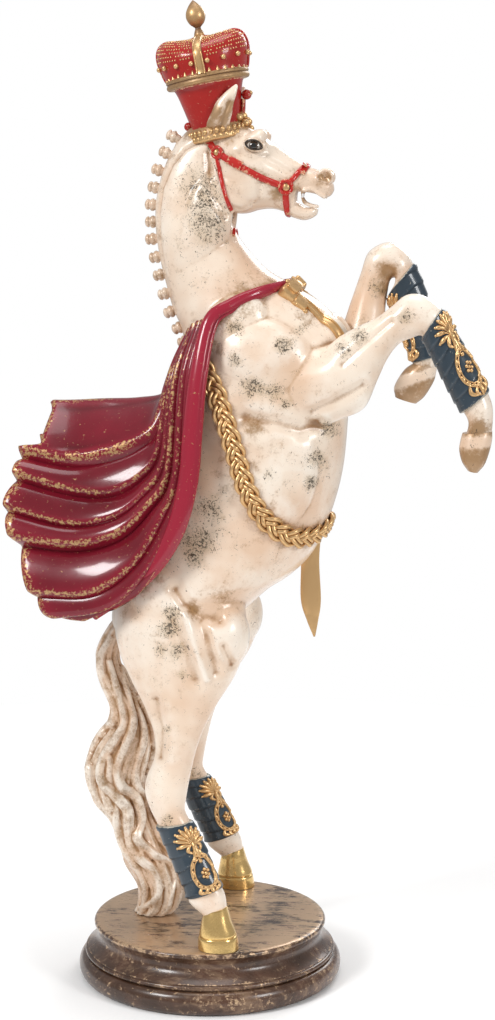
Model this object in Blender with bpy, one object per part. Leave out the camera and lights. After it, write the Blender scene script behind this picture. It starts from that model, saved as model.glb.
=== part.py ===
"""Rearing horse statuette, crowned and caped, cast in one and standing on a turned round plinth.

Metres, +Z up, +X the way the horse faces, its right side towards -Y. The origin is under the plinth's centre.
The casting's pose and carving are shares of its own height: one unit is a thousandth of FIGURE_HEIGHT, with
x and y from the plinth's axis and z from the plinth's top. The plinth has sizes of its own, in metres.
"""

import math

import bmesh
import bpy
import numpy as np
from mathutils import Vector
from mathutils.bvhtree import BVHTree

FIGURE_HEIGHT = 0.470
PLINTH_HEIGHT = 0.030
PLINTH_TOP_RADIUS = 0.0607
PLINTH_FLARE = 0.0081
FASCIA_HEIGHT = 0.0025
COVE_DEPTH = 0.0022
COVE_FOOT = 0.0155
BEAD_RADIUS = 0.0014
SEAT_GAP = 0.0003
PLINTH_SIDES = 48

UNIT = FIGURE_HEIGHT / 1000
FIGURE_FOOT = PLINTH_HEIGHT + SEAT_GAP
VOXEL = 3.1 * UNIT
CASTING_FACES = 7900

# Section rows: rear point x, z, front point x, z, sideways centre y, half width, all in units.
TRUNK = (
    (-84, 300, 12, 322, 0, 46),
    (-106, 334, 40, 350, 0, 76),
    (-100, 370, 68, 376, 0, 84),
    (-86, 402, 92, 392, 0, 83),
    (-70, 440, 116, 418, 0, 78),
    (-58, 490, 134, 460, 0, 77),
    (-48, 540, 146, 506, 0, 80),
    (-38, 590, 151, 560, 0, 82),
    (-26, 632, 153, 612, 0, 76),
    (-28, 656, 149, 650, 0, 66),
    (-37, 676, 126, 681, 0, 54),
    (-44, 700, 92, 703, 0, 45),
    (-51, 728, 62, 721, 0, 39),
    (-56, 760, 38, 747, 0, 35),
    (-56, 790, 26, 768, 0, 32),
    (-50, 818, 25, 780, 0, 30),
    (-40, 842, 30, 794, 0, 28),
    (-24, 864, 44, 812, 0, 25),
    (-6, 878, 52, 832, 0, 18),
)
SKULL = (
    (-4, 876, 6, 812, 0, 13),
    (10, 884, 14, 794, 0, 25),
    (28, 879, 26, 781, 0, 30),
    (46, 869, 41, 779, 0, 31.5),
    (62, 859, 56, 783, 0, 28.5),
    (76, 849, 70, 784, 0, 23),
    (90, 838, 82, 781, 0, 18.5),
    (99, 832, 93, 777, 0, 16),
)
UPPER_JAW = (
    (88, 838, 82, 800, 0, 16),
    (100, 831, 97, 802, 0, 15.5),
    (111, 827, 108, 801, 0, 14.5),
    (121, 824, 117, 799, 0, 15.5),
    (129, 819, 124, 796, 0, 15),
    (134, 810, 130, 797, 0, 11),
    (135, 804, 133, 800, 0, 5),
)
LOWER_JAW = (
    (88, 796, 84, 778, 0, 13),
    (97, 791, 94, 774, 0, 13),
    (105, 786, 103, 772, 0, 11.5),
    (113, 786, 111, 774, 0, 10.5),
    (118, 785, 117, 778, 0, 6.5),
)
# The right hind leg; the left one mirrors it, its foot set back by LEFT_FOOT_BACK.
HIND_LEG = (
    (-86, 396, 38, 402, -40, 34),
    (-96, 350, 47, 354, -50, 42),
    (-90, 312, 48, 325, -57, 38),
    (-76, 282, 38, 292, -63, 31),
    (-61, 255, 20, 262, -69, 25),
    (-50, 228, 6, 236, -75, 20.5),
    (-48, 204, -3, 211, -80, 18),
    (-56, 182, -9, 184, -84, 17),
    (-58, 166, -13, 160, -87, 16),
    (-52, 147, -14, 146, -89, 14.5),
    (-42, 128, -8, 134, -91, 13),
    (-27, 96, 5, 110, -95, 12.5),
    (-11, 62, 20, 76, -99, 12.5),
    (-8, 48, 30, 60, -101, 13.5),
    (4, 34, 36, 42, -103, 13),
    (6, 24, 38, 28, -103, 13),
)
HIND_HOOF = ((6, 36, 37, 41, -103, 14), (4, 18, 41, 20, -104, 17), (3, -6, 46, -6, -105, 19))
LEFT_FOOT_BACK = 8
NEAR_FORELEG = (
    (58, 566, 96, 650, -38, 34),
    (117, 556, 128, 642, -49, 31),
    (150, 567, 147, 654, -54, 26),
    (173, 579, 167, 665, -57, 22.5),
    (186, 608, 184, 673, -58, 18.5),
    (196, 630, 200, 685, -58, 16.5),
    (208, 646, 215, 697, -58, 16),
    (221, 652, 232, 697, -58, 16.5),
    (231, 655, 249, 685, -58, 15.5),
    (237, 646, 257, 673, -58, 13.5),
    (250, 622, 271, 648, -58, 12.5),
    (262, 599, 285, 624, -58, 12.5),
    (273, 580, 298, 602, -58, 13),
    (281, 566, 306, 582, -58, 14),
    (279, 553, 306, 558, -58, 12.5),
    (277, 542, 304, 544, -58, 12),
)
NEAR_FORE_HOOF = ((273, 548, 306, 550, -58, 14.5), (272, 536, 304, 537, -58, 16), (274, 524, 299, 522, -58, 15.5),
                  (281, 514, 292, 513, -58, 10))
FAR_FORELEG = (
    (70, 604, 128, 612, 34, 32),
    (116, 622, 170, 618, 42, 28),
    (138, 652, 185, 654, 47, 23),
    (150, 685, 188, 684, 50, 19),
    (160, 714, 192, 706, 50, 16.5),
    (169, 738, 197, 710, 50, 16.5),
    (191, 748, 199, 707, 50, 16.5),
    (210, 736, 196, 700, 50, 15.5),
    (219, 719, 192, 690, 50, 13.5),
    (229, 694, 201, 668, 50, 12.5),
    (236, 664, 209, 645, 50, 12.5),
    (242, 636, 217, 628, 50, 13),
    (245, 618, 218, 612, 50, 13.5),
    (242, 602, 213, 608, 50, 13),
)
FAR_FORE_HOOF = ((243, 606, 216, 611, 50, 14), (240, 594, 207, 606, 50, 15.5), (231, 580, 198, 592, 50, 15.5),
                 (220, 572, 199, 578, 50, 10))
TAIL = (
    (-96, 350, -74, 346, 0, 13),
    (-116, 324, -94, 316, 0, 17),
    (-128, 298, -99, 292, 0, 19),
    (-123, 270, -89, 264, 0, 22),
    (-110, 244, -75, 240, 0, 25),
    (-112, 217, -62, 214, 0, 29),
    (-130, 192, -58, 190, 0, 32),
    (-140, 163, -65, 162, 0, 33),
    (-135, 130, -70, 136, 0, 31),
    (-116, 108, -64, 112, 0, 29),
    (-105, 82, -50, 84, 0, 29),
    (-98, 56, -35, 58, 0, 30),
    (-84, 32, -29, 32, 0, 29),
    (-84, 10, -33, 10, 0, 26),
    (-88, -6, -40, -6, 0, 20),
)
# Muscle masses: centre x, y, z, radii along x, y, z, and tilt about y in degrees. Each is made on both sides.
MUSCLES = (
    (66, -50, 622, 62, 32, 50, 20),
    (34, -48, 655, 34, 22, 46, 35),
    (128, -20, 636, 28, 24, 38, 0),
    (-34, -48, 366, 54, 42, 52, -20),
    (18, -60, 330, 34, 32, 40, 15),
    (60, -54, 520, 66, 27, 84, 0),
    (33, -19, 805, 25, 12, 24, 20),
    (54, -18, 857, 13, 12, 9, -35),
    (125, -8, 816, 10, 9, 8, -30),
    (-4, -20, 760, 30, 20, 70, 14),
)
EAR = ((3, 862, 27, 862, -19, 7), (2, 872, 27, 872, -27, 7.5), (8, 884, 30, 882, -32, 7), (14, 896, 32, 893, -33, 5.5),
       (24, 906, 35, 903, -33, 4), (34, 914, 37, 912, -32, 1.2))

# Crown profiles: distance from the crown's axis and height above its band, for the lobes and for the sides.
CROWN_BAND = (0, 920)
CROWN_TILT = math.radians(11)
CROWN_LOBE = ((30, -48), (34, -34), (39, -8), (43, -5), (43, 3), (45, 8), (48, 18), (49.5, 28), (47, 38), (38, 45.5),
              (24, 45), (10, 49), (4, 50), (3.5, 53))
CROWN_SIDE = ((30, -48), (34, -34), (39, -8), (43, -5), (43, 3), (42, 8), (43, 18), (42.5, 27), (38, 35), (30, 41),
              (20, 45), (10, 49), (4, 50), (3.5, 53))
FINIAL = ((3.5, 51), (8, 58), (10.5, 66), (8.5, 73), (4, 79), (0.6, 82.5))
CROWN_JEWEL = 6

MANE_KNOBS = ((-39, 859), (-47, 842), (-55, 824), (-59, 806), (-62, 788), (-62, 770), (-62, 752), (-58, 733),
              (-54, 714), (-49, 694), (-43, 675), (-34, 658), (-28, 643))
KNOB_RADII = (8.5, 7, 6)

# Cape strands from the collar to the hem: x, y, z. The first is the middle of the back, the last the right edge.
CAPE_STRANDS = (
    ((-18, 0, 648), (-33, 0, 602), (-46, 0, 580), (-74, 0, 571), (-104, 0, 568), (-138, 0, 569), (-170, 0, 569)),
    ((-10, -34, 656), (-34, -52, 606), (-54, -64, 564), (-90, -76, 532), (-128, -82, 512), (-168, -84, 498),
     (-203, -82, 490)),
    ((0, -54, 664), (-22, -74, 604), (-36, -88, 548), (-58, -98, 492), (-96, -101, 440), (-142, -99, 406),
     (-188, -93, 384)),
    ((12, -66, 670), (0, -84, 612), (-4, -93, 556), (-8, -97, 500), (-24, -97, 446), (-56, -91, 398),
     (-108, -78, 353)),
)
# Where the folds' ridges lie between the middle of the back, 0, and the right edge, 1.
CAPE_RIDGES = (0, 0.17, 0.3, 0.44, 0.58, 0.78, 1)
CAPE_FOLD_DEPTH = 11
CAPE_THICKNESS = 6.5
CAPE_EDGE = ((84, -12, 705), (58, -40, 698), (32, -60, 685), (12, -74, 667), (2, -90, 612), (-3, -98, 556),
             (-8, -101, 500), (-24, -101, 446), (-56, -94, 402), (-106, -80, 356))
CAPE_EDGE_RADII = (5.5, 5.5, 6, 7, 9, 10, 10.5, 10, 8, 4.5)
GIRTH = ((8, -60, 618), (17, -80, 592), (29, -86, 560), (40, -86, 526), (51, -84, 494), (68, -76, 464),
         (90, -58, 444), (112, -34, 440), (128, 0, 450))
GIRTH_STRANDS = 3
GIRTH_STRAND_RADIUS = 4.6
GIRTH_WEAVE = (7.5, 2.6)
GIRTH_PITCH = 36
LAPPET = ((99, 123, 436), (101, 121, 405), (101, 123, 362), (108, 120, 338), (115, 117, 321))
LAPPET_THICKNESS = 3.5
BUCKLE = (96, 0, 704)
BUCKLE_TURN = math.radians(28)
BREAST_STRAP = ((106, 0, 697), (122, 0, 685), (140, 0, 668), (150, -6, 650))

# Bridle runs on the right side: x, z along each strap, its half width, and the rings' centres.
CHEEK_STRAP = ((-4, 866), (6, 852), (14, 843), (30, 833), (48, 823), (66, 814), (85, 807))
NOSEBAND = ((85, 807), (92, 815), (99, 823), (105, 830))
CHIN_STRAP = ((85, 807), (85, 796), (86, 782))
THROAT_STRAP = ((13, 840), (17, 820), (22, 800), (28, 784))
STRAP_WIDTH, STRAP_THICKNESS = 3.2, 2.2
BRIDLE_RINGS = ((14, 843, 6.5), (85, 807, 8))

WRAP_PROUD = 3
MATERIALS = {
    "ivory_lacquer": ((0.83, 0.73, 0.60), 0.22, 0.0),
    "bronzed_brown": ((0.11, 0.075, 0.06), 0.38, 0.35),
}


def clear_scene():
    for obj in list(bpy.data.objects):
        bpy.data.objects.remove(obj)


def material(name):
    """A Principled material of the named colour, roughness and metallic value."""
    colour, roughness, metallic = MATERIALS[name]
    made = bpy.data.materials.new(name)
    made.use_nodes = True
    shader = made.node_tree.nodes["Principled BSDF"]
    shader.inputs["Base Color"].default_value = (*colour, 1)
    shader.inputs["Roughness"].default_value = roughness
    shader.inputs["Metallic"].default_value = metallic
    return made


def smooth_path(rows, count):
    """Rows read at evenly spaced places along a Catmull-Rom curve through them."""
    rows = np.asarray(rows, float)
    ends = np.vstack([2 * rows[0] - rows[1], rows, 2 * rows[-1] - rows[-2]])
    place = np.linspace(0, len(rows) - 1, count)
    start = np.minimum(place.astype(int), len(rows) - 2)
    t = (place - start)[:, None]
    a, b, c, d = (ends[start + k] for k in range(4))
    return 0.5 * (2 * b + (c - a) * t + (2 * a - 5 * b + 4 * c - d) * t**2 + (3 * b - a - 3 * c + d) * t**3)


def in_metres(points):
    """Casting units to metres, with z from the seat on the plinth."""
    return np.asarray(points, float) * UNIT + np.array([0, 0, FIGURE_FOOT])


def skin(rings):
    """(points, faces) of a closed shape through rings of points, with a fan over each end."""
    count, sides = rings.shape[:2]
    points = np.vstack([rings.reshape(-1, 3), rings[0].mean(0), rings[-1].mean(0)])
    first, last = count * sides, count * sides + 1
    faces = []
    for i in range(count - 1):
        for j in range(sides):
            k = (j + 1) % sides
            faces.append((i * sides + j, i * sides + k, (i + 1) * sides + k, (i + 1) * sides + j))
    top = (count - 1) * sides
    for j in range(sides):
        k = (j + 1) % sides
        faces.append((first, k, j))
        faces.append((last, top + j, top + k))
    return points, faces


def slab(front, back):
    """(points, faces) of a closed sheet between two grids of points, with a strip along each of its four edges."""
    rows, columns = front.shape[:2]
    points = np.vstack([front.reshape(-1, 3), back.reshape(-1, 3)])
    faces = []
    for i in range(rows - 1):
        for j in range(columns - 1):
            corner = i * columns + j
            quad = (corner, corner + 1, corner + columns + 1, corner + columns)
            faces.append(quad)
            faces.append(tuple(rows * columns + k for k in reversed(quad)))
    top, bottom = range(columns), range((rows - 1) * columns, rows * columns)
    left, right = range(0, rows * columns, columns), range(columns - 1, rows * columns, columns)
    for edge in (top, right, reversed(bottom), reversed(left)):
        edge = list(edge)
        for a, b in zip(edge, edge[1:]):
            faces.append((b, a, rows * columns + a, rows * columns + b))
    return points, faces


def sections(rows, count, sides=20, fullness=1.0):
    """Rings lofted between a rear and a front outline: an oval from one to the other, its half width sideways.
    A fullness under 1 squares the oval off."""
    rows = smooth_path(rows, count)
    angle = np.arange(sides) * 2 * math.pi / sides
    along = np.sign(np.cos(angle)) * np.abs(np.cos(angle)) ** fullness
    across = np.sign(np.sin(angle)) * np.abs(np.sin(angle)) ** fullness
    middle, half = (rows[:, 2:4] + rows[:, 0:2]) / 2, (rows[:, 2:4] - rows[:, 0:2]) / 2
    rings = np.empty((count, sides, 3))
    rings[:, :, 0] = middle[:, :1] + half[:, :1] * along
    rings[:, :, 2] = middle[:, 1:] + half[:, 1:] * along
    rings[:, :, 1] = rows[:, 4:5] + rows[:, 5:6] * across
    return rings


def mirrored(rings):
    return rings * np.array([1, -1, 1])


def ovoid(centre, radii, tilt=0.0):
    """Rings of an ellipsoid, turned by tilt about the y axis."""
    angle = np.arange(16) * 2 * math.pi / 16
    polar = np.linspace(0.12, math.pi - 0.12, 10)[:, None]
    x = radii[0] * np.sin(polar) * np.cos(angle)
    y = radii[1] * np.sin(polar) * np.sin(angle)
    z = radii[2] * np.cos(polar) * np.ones_like(angle)
    c, s = math.cos(tilt), math.sin(tilt)
    return np.stack([centre[0] + c * x + s * z, centre[1] + y, centre[2] - s * x + c * z], -1)


def strip(points, outward, width, thickness, sides=8):
    """Rings of an oval strap along points: width across the run, thickness along the outward direction."""
    points, outward = np.asarray(points, float), np.asarray(outward, float)
    run = np.gradient(points, axis=0)
    side = np.cross(run, outward)
    side /= np.linalg.norm(side, axis=1, keepdims=True)
    angle = (np.arange(sides) * 2 * math.pi / sides)[None, :, None]
    width = np.broadcast_to(width, len(points))[:, None, None]
    thickness = np.broadcast_to(thickness, len(points))[:, None, None]
    return (
        points[:, None]
        + side[:, None] * width * np.cos(angle)
        + outward[:, None] * thickness * np.sin(angle)
    )


class Casting:
    """Gathers closed shapes, in units, as one set of points and faces."""

    def __init__(self):
        self.points, self.faces = [], []

    def add(self, rings):
        self.add_faces(*skin(rings))

    def add_faces(self, points, faces):
        start = len(self.points)
        self.points.extend(points.tolist())
        self.faces.extend(tuple(start + i for i in face) for face in faces)

    def add_both(self, rings):
        self.add(rings)
        self.add(mirrored(rings))

    def surface(self):
        return BVHTree.FromPolygons(self.points, self.faces)


def settle(surface, points, inward, reach=60):
    """Moves each point along its inward direction to where it first meets the surface, from outside."""
    settled, outward = [], []
    for point, direction in zip(np.asarray(points, float), np.asarray(inward, float)):
        aim = Vector(direction).normalized()
        hit, normal, _, _ = surface.ray_cast(Vector(point) - aim * reach, aim, 2 * reach)
        settled.append(hit if hit else point)
        outward.append(-aim if normal is None or normal.dot(aim) > 0 else normal)
    return np.array(settled, float), np.array(outward, float)


def add_flesh(casting):
    """Trunk, head, legs, hooves, ears, tail and muscle masses."""
    casting.add(sections(TRUNK, 60, 28, 0.92))
    casting.add(sections(SKULL, 22, 20, 0.85))
    casting.add(sections(UPPER_JAW, 18, 16, 0.9))
    casting.add(sections(LOWER_JAW, 12, 14, 0.9))
    right = sections(HIND_LEG, 46)
    hoof = sections(HIND_HOOF, 8, 20, 0.85)
    casting.add(right)
    casting.add(hoof)
    set_back = np.array([LEFT_FOOT_BACK, 0, 0])
    below_hock = np.clip((300 - right[:, :, 2:]) / 200, 0, 1)
    casting.add(mirrored(right - set_back * below_hock))
    casting.add(mirrored(hoof - set_back))
    casting.add(sections(NEAR_FORELEG, 46))
    casting.add(sections(NEAR_FORE_HOOF, 8, 18, 0.85))
    casting.add(sections(FAR_FORELEG, 44))
    casting.add(sections(FAR_FORE_HOOF, 8, 18, 0.85))
    casting.add_both(sections(EAR, 10, 12))
    for x, y, z, rx, ry, rz, tilt in MUSCLES:
        casting.add_both(ovoid((x, y, z), (rx, ry, rz), math.radians(tilt)))
    add_tail(casting)


def add_tail(casting):
    """The tail is one body of hair with locks: its radius swells and sinks round the section, and winds downwards."""
    rings = sections(TAIL, 52, 40)
    middle = rings.mean(axis=1, keepdims=True)
    angle = np.arange(40) * 2 * math.pi / 40
    drop = np.linspace(0, 1, 52)[:, None]
    locks = np.abs(np.sin(3.5 * angle[None] + 5 * drop + 0.8 * np.sin(9 * drop)))
    casting.add(middle + (rings - middle) * (0.88 + 0.2 * locks)[..., None])


def add_wraps(casting):
    """A bandage on each cannon: the leg's own sections, a little larger."""
    covered = {"hind": (HIND_LEG, 46, 28, 38), "near": (NEAR_FORELEG, 46, 26, 38), "far": (FAR_FORELEG, 44, 28, 39)}
    for name, (rows, count, low, high) in covered.items():
        rings = sections(rows, count)[low:high]
        middle = rings.mean(axis=1, keepdims=True)
        half = np.linalg.norm(rings - middle, axis=2).mean()
        rings = middle + (rings - middle) * (1 + WRAP_PROUD / half)
        casting.add(rings)
        if name == "hind":
            casting.add(mirrored(rings - np.array([LEFT_FOOT_BACK, 0, 0])))


def crown_frame(points):
    """Crown points, as distances along its own axes, turned by the crown's tilt and set on its band."""
    c, s = math.cos(CROWN_TILT), math.sin(CROWN_TILT)
    x, y, z = np.moveaxis(np.asarray(points, float), -1, 0)
    return np.stack([CROWN_BAND[0] + c * x - s * z, y, CROWN_BAND[1] + s * x + c * z], -1)


def add_crown(casting):
    """The crown's outline turns from the lobes' profile at front and back to the sides' profile, as cos squared."""
    sides, count = 32, 34
    lobe, side = smooth_path(CROWN_LOBE, count), smooth_path(CROWN_SIDE, count)
    angle = np.arange(sides) * 2 * math.pi / sides
    share = np.cos(angle)[None] ** 2
    radius = lobe[:, :1] * share + side[:, :1] * (1 - share)
    height = lobe[:, 1:] * share + side[:, 1:] * (1 - share)
    casting.add(crown_frame(np.stack([radius * np.cos(angle), radius * np.sin(angle), height], -1)))
    bulb = smooth_path(FINIAL, 12)
    turned = [bulb[:, :1] * np.cos(angle), bulb[:, :1] * np.sin(angle), bulb[:, 1:] + 0 * angle]
    casting.add(crown_frame(np.stack(turned, -1)))
    for x, z in ((40, -20), (-35, -38)):
        casting.add(ovoid(crown_frame((x, 0, z)), (CROWN_JEWEL,) * 3))


def add_mane(casting):
    for x, z in MANE_KNOBS:
        casting.add(ovoid((x, 0, z), KNOB_RADII))
    crest = [(x + 9, z - 2, x + 18, z - 4, 0, 4) for x, z in MANE_KNOBS]
    casting.add(sections(crest, 30, 8))


def fold_height(place):
    """Height of the cape's folds, 0 to 1, at a place between the middle of the back, 0, and an edge, 1: sharp
    ridges with hollow valleys between, as 1 minus the sine's size."""
    phase = np.interp(np.abs(place), CAPE_RIDGES, range(len(CAPE_RIDGES)))
    return 1 - np.abs(np.sin(math.pi * phase)) ** 0.75


def sheet_normals(sheet):
    """Unit normals of a grid of points, from the cross product of its two directions."""
    normals = np.cross(np.gradient(sheet, axis=1), np.gradient(sheet, axis=0))
    return normals / np.linalg.norm(normals, axis=2, keepdims=True)


def add_cape(casting):
    """A thick sheet spread over the strands, with folds that deepen towards the hem."""
    strands = [smooth_path(s, 28) for s in CAPE_STRANDS]
    whole = strands[:0:-1] + [strands[0]] + [s * np.array([1, -1, 1]) for s in strands[1:]]
    across = 97
    sheet = np.stack([smooth_path(np.array(whole)[:, k], across) for k in range(28)])
    deepening = np.linspace(0.1, 1, 28)[:, None] ** 0.6
    fold = CAPE_FOLD_DEPTH * deepening * (fold_height(np.linspace(-1, 1, across)) - 0.6)[None]
    folded = sheet + sheet_normals(sheet) * fold[..., None]
    half = sheet_normals(folded) * CAPE_THICKNESS / 2
    casting.add_faces(*slab(folded + half, folded - half))


def add_girth(casting, surface):
    """A plait laid round the belly: each strand swings from side to side as a sine, and over and under the next
    one as a sine of twice the pace."""
    girth = smooth_path(GIRTH, 90)
    inward = (np.array([60, 0, 500]) - girth) * np.array([1, 1, 0.3])
    lying, outward = settle(surface, girth, inward)
    run = np.gradient(lying, axis=0)
    length = np.cumsum(np.linalg.norm(run, axis=1))
    side = np.cross(run, outward)
    side /= np.linalg.norm(side, axis=1, keepdims=True)
    swing, rise = GIRTH_WEAVE
    for strand in range(GIRTH_STRANDS):
        turn = 2 * math.pi * (length / GIRTH_PITCH + strand / GIRTH_STRANDS)[:, None]
        path = lying + side * swing * np.sin(turn) + outward * (rise * np.sin(2 * turn) + rise)
        casting.add_both(strip(path, outward, GIRTH_STRAND_RADIUS, GIRTH_STRAND_RADIUS))


def add_tack(casting, surface):
    """What lies on the horse: girth, the cape's rolled edge, lappet, buckle, breast strap and bridle."""
    add_girth(casting, surface)
    edge = smooth_path(CAPE_EDGE, 44)
    out = edge * np.array([0.4, 1, 0])
    out /= np.linalg.norm(out, axis=1, keepdims=True)
    radii = smooth_path(np.array(CAPE_EDGE_RADII)[:, None], 44)[:, 0]
    casting.add_both(strip(edge, out, radii, radii * 0.8, 12))
    lappet = smooth_path(LAPPET, 14)
    rear, front, height = lappet[:, 0], lappet[:, 1], lappet[:, 2]
    x = np.stack([rear, (rear + front) / 2, front, (rear + front) / 2], 1)
    y = np.array([0, -0.5, 0, 0.5]) * LAPPET_THICKNESS + 0 * x
    casting.add(np.stack([x, y, height[:, None] + 0 * x], -1))
    casting.add(ovoid(BUCKLE, (15, 15, 5), BUCKLE_TURN))
    strap = smooth_path(BREAST_STRAP, 12)
    casting.add_both(strip(strap, np.tile((0.6, 0, 0.8), (12, 1)), 5, 3))
    for run, width in ((CHEEK_STRAP, 1), (NOSEBAND, 1), (CHIN_STRAP, 1.2), (THROAT_STRAP, 0.8)):
        path = smooth_path([(x, -20, z) for x, z in run], 16)
        lying, outward = settle(surface, path, np.tile((0, 1, 0), (16, 1)))
        casting.add_both(strip(lying, outward, STRAP_WIDTH * width, STRAP_THICKNESS))
    for x, z, radius in BRIDLE_RINGS:
        (lying,), _ = settle(surface, [(x, -20, z)], [(0, 1, 0)])
        casting.add_both(ovoid(lying, (radius, STRAP_THICKNESS + 1, radius)))


def casting_object():
    """The whole casting: its shapes grown into one skin, smoothed, thinned, and cut flat where it stands."""
    casting = Casting()
    add_flesh(casting)
    surface = casting.surface()
    add_wraps(casting)
    add_crown(casting)
    add_mane(casting)
    add_cape(casting)
    add_tack(casting, surface)
    mesh = bpy.data.meshes.new("horse_figure")
    mesh.from_pydata(in_metres(casting.points).tolist(), [], casting.faces)
    shape = bmesh.new()
    shape.from_mesh(mesh)
    bmesh.ops.recalc_face_normals(shape, faces=shape.faces)
    shape.to_mesh(mesh)
    shape.free()
    figure = bpy.data.objects.new("horse_figure", mesh)
    bpy.context.scene.collection.objects.link(figure)
    mesh.materials.append(material("ivory_lacquer"))
    grown = figure.modifiers.new("one skin", "REMESH")
    grown.mode = "VOXEL"
    grown.voxel_size = VOXEL
    softened = figure.modifiers.new("soft forms", "SMOOTH")
    softened.factor = 0.5
    softened.iterations = 4
    thinned = figure.modifiers.new("fewer faces", "DECIMATE")
    thinned.ratio = CASTING_FACES / triangle_count(figure)
    thinned.use_collapse_triangulate = True
    flat = figure.modifiers.new("flat soles", "BOOLEAN")
    flat.operation = "DIFFERENCE"
    flat.object = sole_cutter()
    return figure


def triangle_count(obj):
    """How many triangles the object has with the modifiers that it carries so far."""
    bpy.context.view_layer.update()
    graph = bpy.context.evaluated_depsgraph_get()
    evaluated = obj.evaluated_get(graph)
    mesh = evaluated.to_mesh()
    mesh.calc_loop_triangles()
    count = len(mesh.loop_triangles)
    evaluated.to_mesh_clear()
    return count


def sole_cutter():
    """A block whose top is the seat of the casting, a gap above the plinth."""
    mesh = bpy.data.meshes.new("sole_cutter")
    shape = bmesh.new()
    bmesh.ops.create_cube(shape, size=1)
    reach = FIGURE_HEIGHT
    for corner in shape.verts:
        corner.co = (corner.co.x * reach, corner.co.y * reach, (corner.co.z - 0.5) * PLINTH_HEIGHT + FIGURE_FOOT)
    shape.to_mesh(mesh)
    shape.free()
    cutter = bpy.data.objects.new("sole_cutter", mesh)
    bpy.context.scene.collection.objects.link(cutter)
    cutter.hide_render = True
    cutter.display_type = "WIRE"
    return cutter


def plinth_profile():
    """(radius, z) from the top's rim down to the foot: fascia, cove, bead and torus."""
    top, foot = PLINTH_TOP_RADIUS, PLINTH_TOP_RADIUS + PLINTH_FLARE
    cove_top = PLINTH_HEIGHT - FASCIA_HEIGHT
    share = np.linspace(0, 1, 6)
    shelf = top + 0.45 * PLINTH_FLARE
    cove_radius = top + (shelf - top) * share**2.5 - COVE_DEPTH * np.sin(math.pi * share)
    cove = np.stack([cove_radius, cove_top + (COVE_FOOT - cove_top) * share], 1)
    bead_middle = COVE_FOOT - BEAD_RADIUS * 1.4
    turn = np.linspace(math.pi / 2, -math.pi / 2, 4)
    bead = np.stack([shelf + BEAD_RADIUS * np.cos(turn), bead_middle + BEAD_RADIUS * np.sin(turn)], 1)
    torus_half = (bead_middle - BEAD_RADIUS) / 2
    turn = np.linspace(math.pi / 2, -math.pi / 2, 7)
    swell = foot - shelf
    torus = np.stack([shelf + swell * np.cos(turn), torus_half + torus_half * np.sin(turn)], 1)
    rim = np.array([[top - 0.0006, PLINTH_HEIGHT], [top, PLINTH_HEIGHT - 0.0006]])
    return np.vstack([rim, cove, bead, torus])


def plinth_object():
    """The plinth's profile turned about the origin's axis."""
    profile = plinth_profile()
    angle = np.arange(PLINTH_SIDES) * 2 * math.pi / PLINTH_SIDES
    turned = [profile[:, :1] * np.cos(angle), profile[:, :1] * np.sin(angle), profile[:, 1:] + 0 * angle]
    points, faces = skin(np.stack(turned, -1))
    mesh = bpy.data.meshes.new("plinth")
    mesh.from_pydata(points.tolist(), [], faces)
    shape = bmesh.new()
    shape.from_mesh(mesh)
    bmesh.ops.remove_doubles(shape, verts=shape.verts, dist=1e-6)
    bmesh.ops.recalc_face_normals(shape, faces=shape.faces)
    shape.to_mesh(mesh)
    shape.free()
    mesh.shade_smooth()
    mesh.set_sharp_from_angle(angle=math.radians(30))
    mesh.materials.append(material("bronzed_brown"))
    plinth = bpy.data.objects.new("plinth", mesh)
    bpy.context.scene.collection.objects.link(plinth)
    return plinth


def main():
    clear_scene()
    plinth_object()
    casting_object()


main()
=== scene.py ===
"""Looks of the rearing horse statuette: ivory horse, crimson cape, scarlet crown and bridle, blue leg wraps, gold.

Shapes are in units, as on the solid: one unit is a thousandth of the figure's height, x and y from the plinth's
axis, z from the plinth's top, +X the way the horse faces, its right side towards -Y.
"""

import math

import bmesh
import bpy
import numpy as np
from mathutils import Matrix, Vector
from mathutils.bvhtree import BVHTree


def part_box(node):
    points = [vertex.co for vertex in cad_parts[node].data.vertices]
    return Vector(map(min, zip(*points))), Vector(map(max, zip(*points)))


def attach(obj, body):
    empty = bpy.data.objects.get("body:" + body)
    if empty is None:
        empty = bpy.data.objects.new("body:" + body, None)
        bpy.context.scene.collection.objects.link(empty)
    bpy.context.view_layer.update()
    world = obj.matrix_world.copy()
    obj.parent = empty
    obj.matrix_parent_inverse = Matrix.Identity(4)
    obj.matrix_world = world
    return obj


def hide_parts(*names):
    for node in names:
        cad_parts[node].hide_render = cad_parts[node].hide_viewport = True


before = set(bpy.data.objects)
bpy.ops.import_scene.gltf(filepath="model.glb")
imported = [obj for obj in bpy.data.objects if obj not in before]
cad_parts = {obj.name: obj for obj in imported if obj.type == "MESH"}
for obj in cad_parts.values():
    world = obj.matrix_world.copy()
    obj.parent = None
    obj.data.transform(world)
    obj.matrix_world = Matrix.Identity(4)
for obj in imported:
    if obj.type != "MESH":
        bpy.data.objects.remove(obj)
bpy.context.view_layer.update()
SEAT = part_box("horse_figure")[0].z
UNIT = (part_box("horse_figure")[1].z - SEAT) / 1000
PLINTH_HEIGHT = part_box("plinth")[1].z
PLINTH_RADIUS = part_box("plinth")[1].x

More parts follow.
